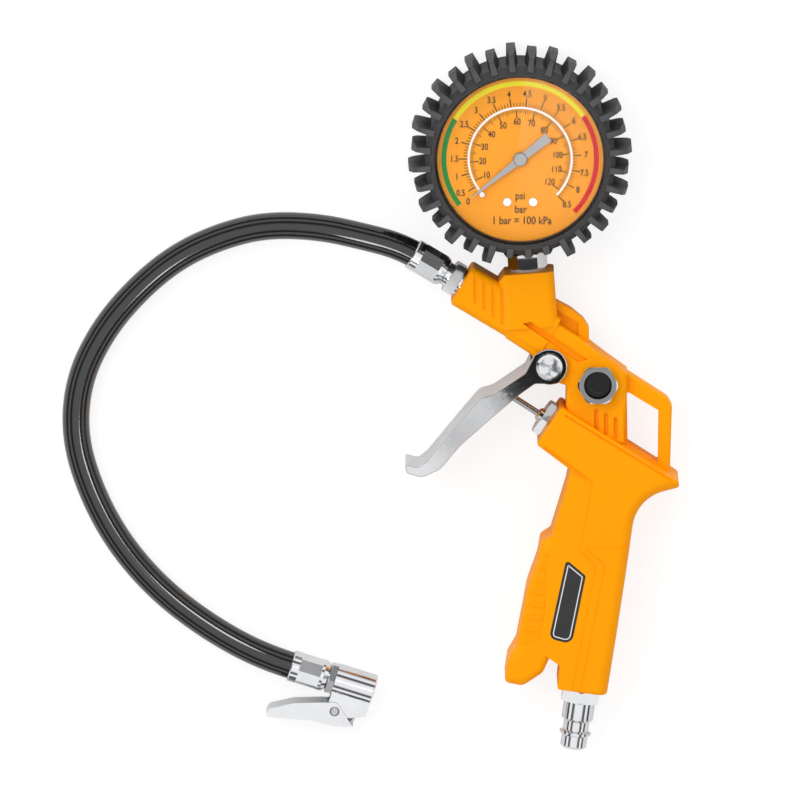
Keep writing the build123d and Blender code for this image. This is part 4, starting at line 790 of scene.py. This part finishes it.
class INFLATOR_OT_stage(bpy.types.Operator):
    """Lays the white bench and sets up the room light and the lamps"""

    bl_idname = "inflator.stage"
    bl_label = "Stage"

    # Height and brightness of the ceiling that polished metal mirrors
    ceiling = (
        (0.0, 0.55), (0.10, 0.06), (0.30, 0.04), (0.36, 0.95), (0.58, 1.0),
        (0.66, 0.12), (0.80, 0.10), (0.88, 0.95), (1.0, 1.0),
    )

    # Share of the way down the trigger, and the brightness that it mirrors there
    trigger_shades = (
        (0.0, 0.008), (0.2, 0.03), (0.3, 0.09), (0.36, 0.5), (0.5, 0.75), (0.75, 0.62), (1.0, 0.9),
    )
    trigger_corners = ((-58, -34), (10.4, -34), (-58, 23), (10.4, 23))  # millimetres, as mirrored
    trigger_down = (-0.79, -0.61, 0)  # direction from the trigger's pin to its tip
    pin_head = 0.0049  # radius of the pin's head in the mirror

    glare_corners = ((-0.0048, -0.1022), (0.060, -0.1022), (0.0032, -0.0212), (0.060, -0.0212))
    glare_height = 1.03

    def execute(self, context):
        stage = settings()[2]
        self.bench()
        self.room(context, stage.room)
        self.lamp("large_lamp", (-0.75, 0.55, 1.25), (0.9, 0.9), stage.lamp)
        self.lamp("far_lamp", (0.1, 1.3, 0.45), (0.8, 0.5), stage.lamp * 0.8)
        self.card("loop_card", (-0.098, -0.014, 0.150), 0.024, 9.0)
        self.card("ring_card", self.mirrored(21.1, 6.9, 27.6, 12), 0.0085, 0.3)
        self.tile("stem_tile", (-5.6, 53.2, 20.5), (15.0, 8.0), 4, 12, 0.03)
        self.tile("stem_gleam", (-5.6, 55.3, 20.5), (8.0, 1.0), 4, 11, 1.0)
        self.trigger_card()
        self.glare_card()
        return {"FINISHED"}

    def bench(self):
        """The bench, which glows where it is seen, so that it looks white, and else only scatters light."""
        deselect()
        bpy.ops.mesh.primitive_plane_add(size=6, location=(0, 0, 0))
        bench = bpy.context.object
        bench.name = "bench"
        material, tree = new_material("white bench", empty=True)
        link = tree.links.new
        seen = seen_directly(tree)[1]
        lit = node(tree, "ShaderNodeBsdfDiffuse", {"Color": (0.8, 0.8, 0.8, 1)})
        dim = node(tree, "ShaderNodeBsdfDiffuse", {"Color": (0.26, 0.26, 0.26, 1)})
        glow = node(tree, "ShaderNodeEmission", {"Color": (1, 1, 1, 1), "Strength": 0.8})
        pale = node(tree, "ShaderNodeAddShader")
        link(dim.outputs[0], pale.inputs[0])
        link(glow.outputs[0], pale.inputs[1])
        mix = node(tree, "ShaderNodeMixShader")
        link(seen.outputs[0], mix.inputs[0])
        link(lit.outputs[0], mix.inputs[1])
        link(pale.outputs[0], mix.inputs[2])
        out = node(tree, "ShaderNodeOutputMaterial")
        link(mix.outputs[0], out.inputs["Surface"])
        bench.data.materials.append(material)

    def room(self, context, strength):
        """Even white light, with a banded ceiling for polished metal to mirror."""
        world = bpy.data.worlds.new("room")
        context.scene.world = world
        world.use_nodes = True
        tree = world.node_tree
        tree.nodes.clear()
        link = tree.links.new
        path, seen = seen_directly(tree)
        even = node(tree, "ShaderNodeBackground", {"Color": (1, 1, 1, 1), "Strength": strength})
        white = node(tree, "ShaderNodeBackground", {"Color": (1, 1, 1, 1), "Strength": 1.0})
        place = node(tree, "ShaderNodeTexCoord")
        split = node(tree, "ShaderNodeSeparateXYZ")
        link(place.outputs["Generated"], split.inputs[0])
        bands = node(tree, "ShaderNodeValToRGB")
        self.set_stops(bands.color_ramp, self.ceiling)
        link(split.outputs["Z"], bands.inputs["Fac"])
        mirrored = node(tree, "ShaderNodeBackground", {"Strength": 1.0})
        link(bands.outputs["Color"], mirrored.inputs["Color"])
        first = node(tree, "ShaderNodeMixShader")
        link(path.outputs["Is Glossy Ray"], first.inputs[0])
        link(even.outputs[0], first.inputs[1])
        link(mirrored.outputs[0], first.inputs[2])
        second = node(tree, "ShaderNodeMixShader")
        link(seen.outputs[0], second.inputs[0])
        link(first.outputs[0], second.inputs[1])
        link(white.outputs[0], second.inputs[2])
        out = node(tree, "ShaderNodeOutputWorld")
        link(second.outputs[0], out.inputs["Surface"])

    def lamp(self, name, place, size, power):
        """A rectangular lamp that looks at the gun's middle and isn't mirrored."""
        deselect()
        bpy.ops.object.light_add(type="AREA", location=place)
        lamp = bpy.context.object
        lamp.name = name
        lamp.data.shape = "RECTANGLE"
        lamp.data.size, lamp.data.size_y = size
        lamp.data.energy = power
        lamp.rotation_euler = (-Vector(place)).to_track_quat("-Z", "Y").to_euler()
        lamp.visible_camera = False
        lamp.visible_glossy = False

    def card(self, name, place, radius, strength):
        """A small bright card that only glossy surfaces mirror."""
        deselect()
        bpy.ops.mesh.primitive_circle_add(vertices=48, radius=radius, fill_type="NGON", location=place)
        card = bpy.context.object
        card.name = name
        self.light_up(card, strength)

    def tile(self, name, spot, size, angle, height, strength):
        """A small card over a flat that looks straight up, for the flat to mirror."""
        deselect()
        bpy.ops.mesh.primitive_plane_add(size=1, location=self.mirrored(*spot, height))
        tile = bpy.context.object
        tile.name = name
        tile.scale = (size[0] * MM, size[1] * MM, 1)
        tile.rotation_euler = (0, 0, math.radians(angle))
        self.light_up(tile, strength)

    def light_up(self, card, strength):
        """Makes a card glow for glossy rays only, and gives its emission node."""
        material, tree = new_material(card.name.replace("_", " "), empty=True)
        glow = node(tree, "ShaderNodeEmission", {"Color": (1, 1, 1, 1), "Strength": strength})
        out = node(tree, "ShaderNodeOutputMaterial")
        tree.links.new(glow.outputs[0], out.inputs["Surface"])
        card.data.materials.append(material)
        card.visible_camera = False
        card.visible_diffuse = False
        card.visible_shadow = False
        card.visible_transmission = False
        return glow

    def mirrored(self, x, y, z, height):
        """Where a card stands, in metres, to be mirrored at a point of a face that looks straight up."""
        camera = bpy.context.scene.camera.location / MM
        share = height / (camera.z - z)
        return Vector((x + (x - camera.x) * share, y + (y - camera.y) * share, z + height)) * MM

    def trigger_card(self):
        """The dim room that the flat of the trigger mirrors round its pin, and the pale one farther down."""
        deselect()
        bpy.ops.mesh.primitive_plane_add(size=1, location=(0, 0, 0))
        card = bpy.context.object
        card.name = "trigger_card"
        for vertex, (x, y) in zip(card.data.vertices, self.trigger_corners):
            vertex.co = self.mirrored(x, y, 26, 12)
        glow = self.light_up(card, 1.0)
        tree = card.data.materials[0].node_tree
        link = tree.links.new
        place = node(tree, "ShaderNodeTexCoord")
        pin = self.mirrored(2.7, 13.8, 28, 10)
        arm = node(tree, "ShaderNodeVectorMath", {1: pin}, operation="SUBTRACT")
        link(place.outputs["Object"], arm.inputs[0])
        far = node(tree, "ShaderNodeVectorMath", operation="LENGTH")
        link(arm.outputs[0], far.inputs[0])
        down = node(tree, "ShaderNodeVectorMath", {1: self.trigger_down}, operation="DOT_PRODUCT")
        link(arm.outputs[0], down.inputs[0])
        # Noise that makes the edge of this card's light ragged, a painted reflection with an uneven edge on
        # the trigger
        light_ripple_noise = node(tree, "ShaderNodeTexNoise", {"Scale": 420.0, "Detail": 5.0, "Roughness": 0.7})
        link(place.outputs["Object"], light_ripple_noise.inputs["Vector"])
        uneven = node(tree, "ShaderNodeMath", {1: 0.012, 2: -0.006}, operation="MULTIPLY_ADD")
        link(light_ripple_noise.outputs["Fac"], uneven.inputs[0])
        reach = node(tree, "ShaderNodeMath", operation="ADD")
        link(down.outputs["Value"], reach.inputs[0])
        link(uneven.outputs[0], reach.inputs[1])
        along = node(tree, "ShaderNodeMapRange", {"From Min": 0.0, "From Max": 0.06})
        link(reach.outputs[0], along.inputs["Value"])
        shades = node(tree, "ShaderNodeValToRGB")
        self.set_stops(shades.color_ramp, self.trigger_shades)
        link(along.outputs[0], shades.inputs["Fac"])
        # Blotchy light for the pin's head to mirror, a painted glint on the head
        head_glint = node(
            tree, "ShaderNodeMapRange",
            {"From Min": 0.5, "From Max": 0.62, "To Min": 0.95, "To Max": 0.15},
        )
        spots = node(tree, "ShaderNodeTexNoise", {"Scale": 260.0, "Detail": 3.0})
        link(place.outputs["Object"], spots.inputs["Vector"])
        link(spots.outputs["Fac"], head_glint.inputs["Value"])
        on_head = node(tree, "ShaderNodeMath", {1: self.pin_head}, operation="LESS_THAN")
        link(far.outputs["Value"], on_head.inputs[0])
        shade = node(tree, "ShaderNodeMix", data_type="FLOAT")
        link(on_head.outputs[0], shade.inputs[0])
        link(shades.outputs["Color"], shade.inputs[2])
        link(head_glint.outputs[0], shade.inputs[3])
        link(shade.outputs[0], glow.inputs["Strength"])

    def set_stops(self, ramp, stops):
        """Sets a ramp's grey stops from (position, value) pairs."""
        while len(ramp.elements) < len(stops):
            ramp.elements.new(0.5)
        for stop, (position, value) in zip(ramp.elements, stops):
            stop.position = position
            stop.color = (value, value, value, 1)

    def glare_card(self):
        """The card that the lens mirrors over the right half of the dial, brightest at its far edge."""
        deselect()
        bpy.ops.mesh.primitive_plane_add(size=1, location=(0, 0, 0))
        card = bpy.context.object
        card.name = "glare_card"
        for vertex, (x, y) in zip(card.data.vertices, self.glare_corners):
            vertex.co = (x, y, self.glare_height)
        glow = self.light_up(card, 1.0)
        tree = card.data.materials[0].node_tree
        fade = ramp_along(
            tree, "Y", {"From Min": -0.10, "From Max": -0.025, "To Min": 1.2, "To Max": 5.0}
        )
        tree.links.new(fade.outputs[0], glow.inputs["Strength"])


class INFLATOR_PT_panel(bpy.types.Panel):
    """Lists the inflator's settings and steps"""

    bl_label = "Tyre inflator"
    bl_idname = "INFLATOR_PT_panel"
    bl_space_type = "VIEW_3D"
    bl_region_type = "UI"
    bl_category = "Inflator"

    def draw(self, context):
        for group in settings():
            column = self.layout.column(align=True)
            for key in group.bl_rna.properties.keys():
                if key not in {"rna_type", "name"}:
                    column.prop(group, key)
        for step in STEPS:
            self.layout.operator(step.bl_idname)


STEPS = (
    INFLATOR_OT_camera,
    INFLATOR_OT_hose,
    INFLATOR_OT_finishes,
    INFLATOR_OT_dial_bands,
    INFLATOR_OT_dial_scales,
    INFLATOR_OT_plate_line,
    INFLATOR_OT_stage,
)
GROUPS = (InflatorSizes, InflatorColours, InflatorStage)


def register():
    for item in (*GROUPS, *STEPS, INFLATOR_PT_panel):
        bpy.utils.register_class(item)
    bpy.types.Scene.inflator_sizes = bpy.props.PointerProperty(type=InflatorSizes)
    bpy.types.Scene.inflator_colours = bpy.props.PointerProperty(type=InflatorColours)
    bpy.types.Scene.inflator_stage = bpy.props.PointerProperty(type=InflatorStage)


def unregister():
    del bpy.types.Scene.inflator_stage
    del bpy.types.Scene.inflator_colours
    del bpy.types.Scene.inflator_sizes
    for item in reversed((*GROUPS, *STEPS, INFLATOR_PT_panel)):
        bpy.utils.unregister_class(item)


def main():
    """Registers the add-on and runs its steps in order."""
    register()
    bpy.context.scene.view_settings.view_transform = "Standard"
    bpy.ops.inflator.camera()
    bpy.ops.inflator.hose()
    bpy.ops.inflator.finishes()
    bpy.ops.inflator.dial_bands()
    bpy.ops.inflator.dial_scales()
    bpy.ops.inflator.plate_line()
    bpy.ops.inflator.stage()
    deselect()


if __name__ == "__main__":
    main()
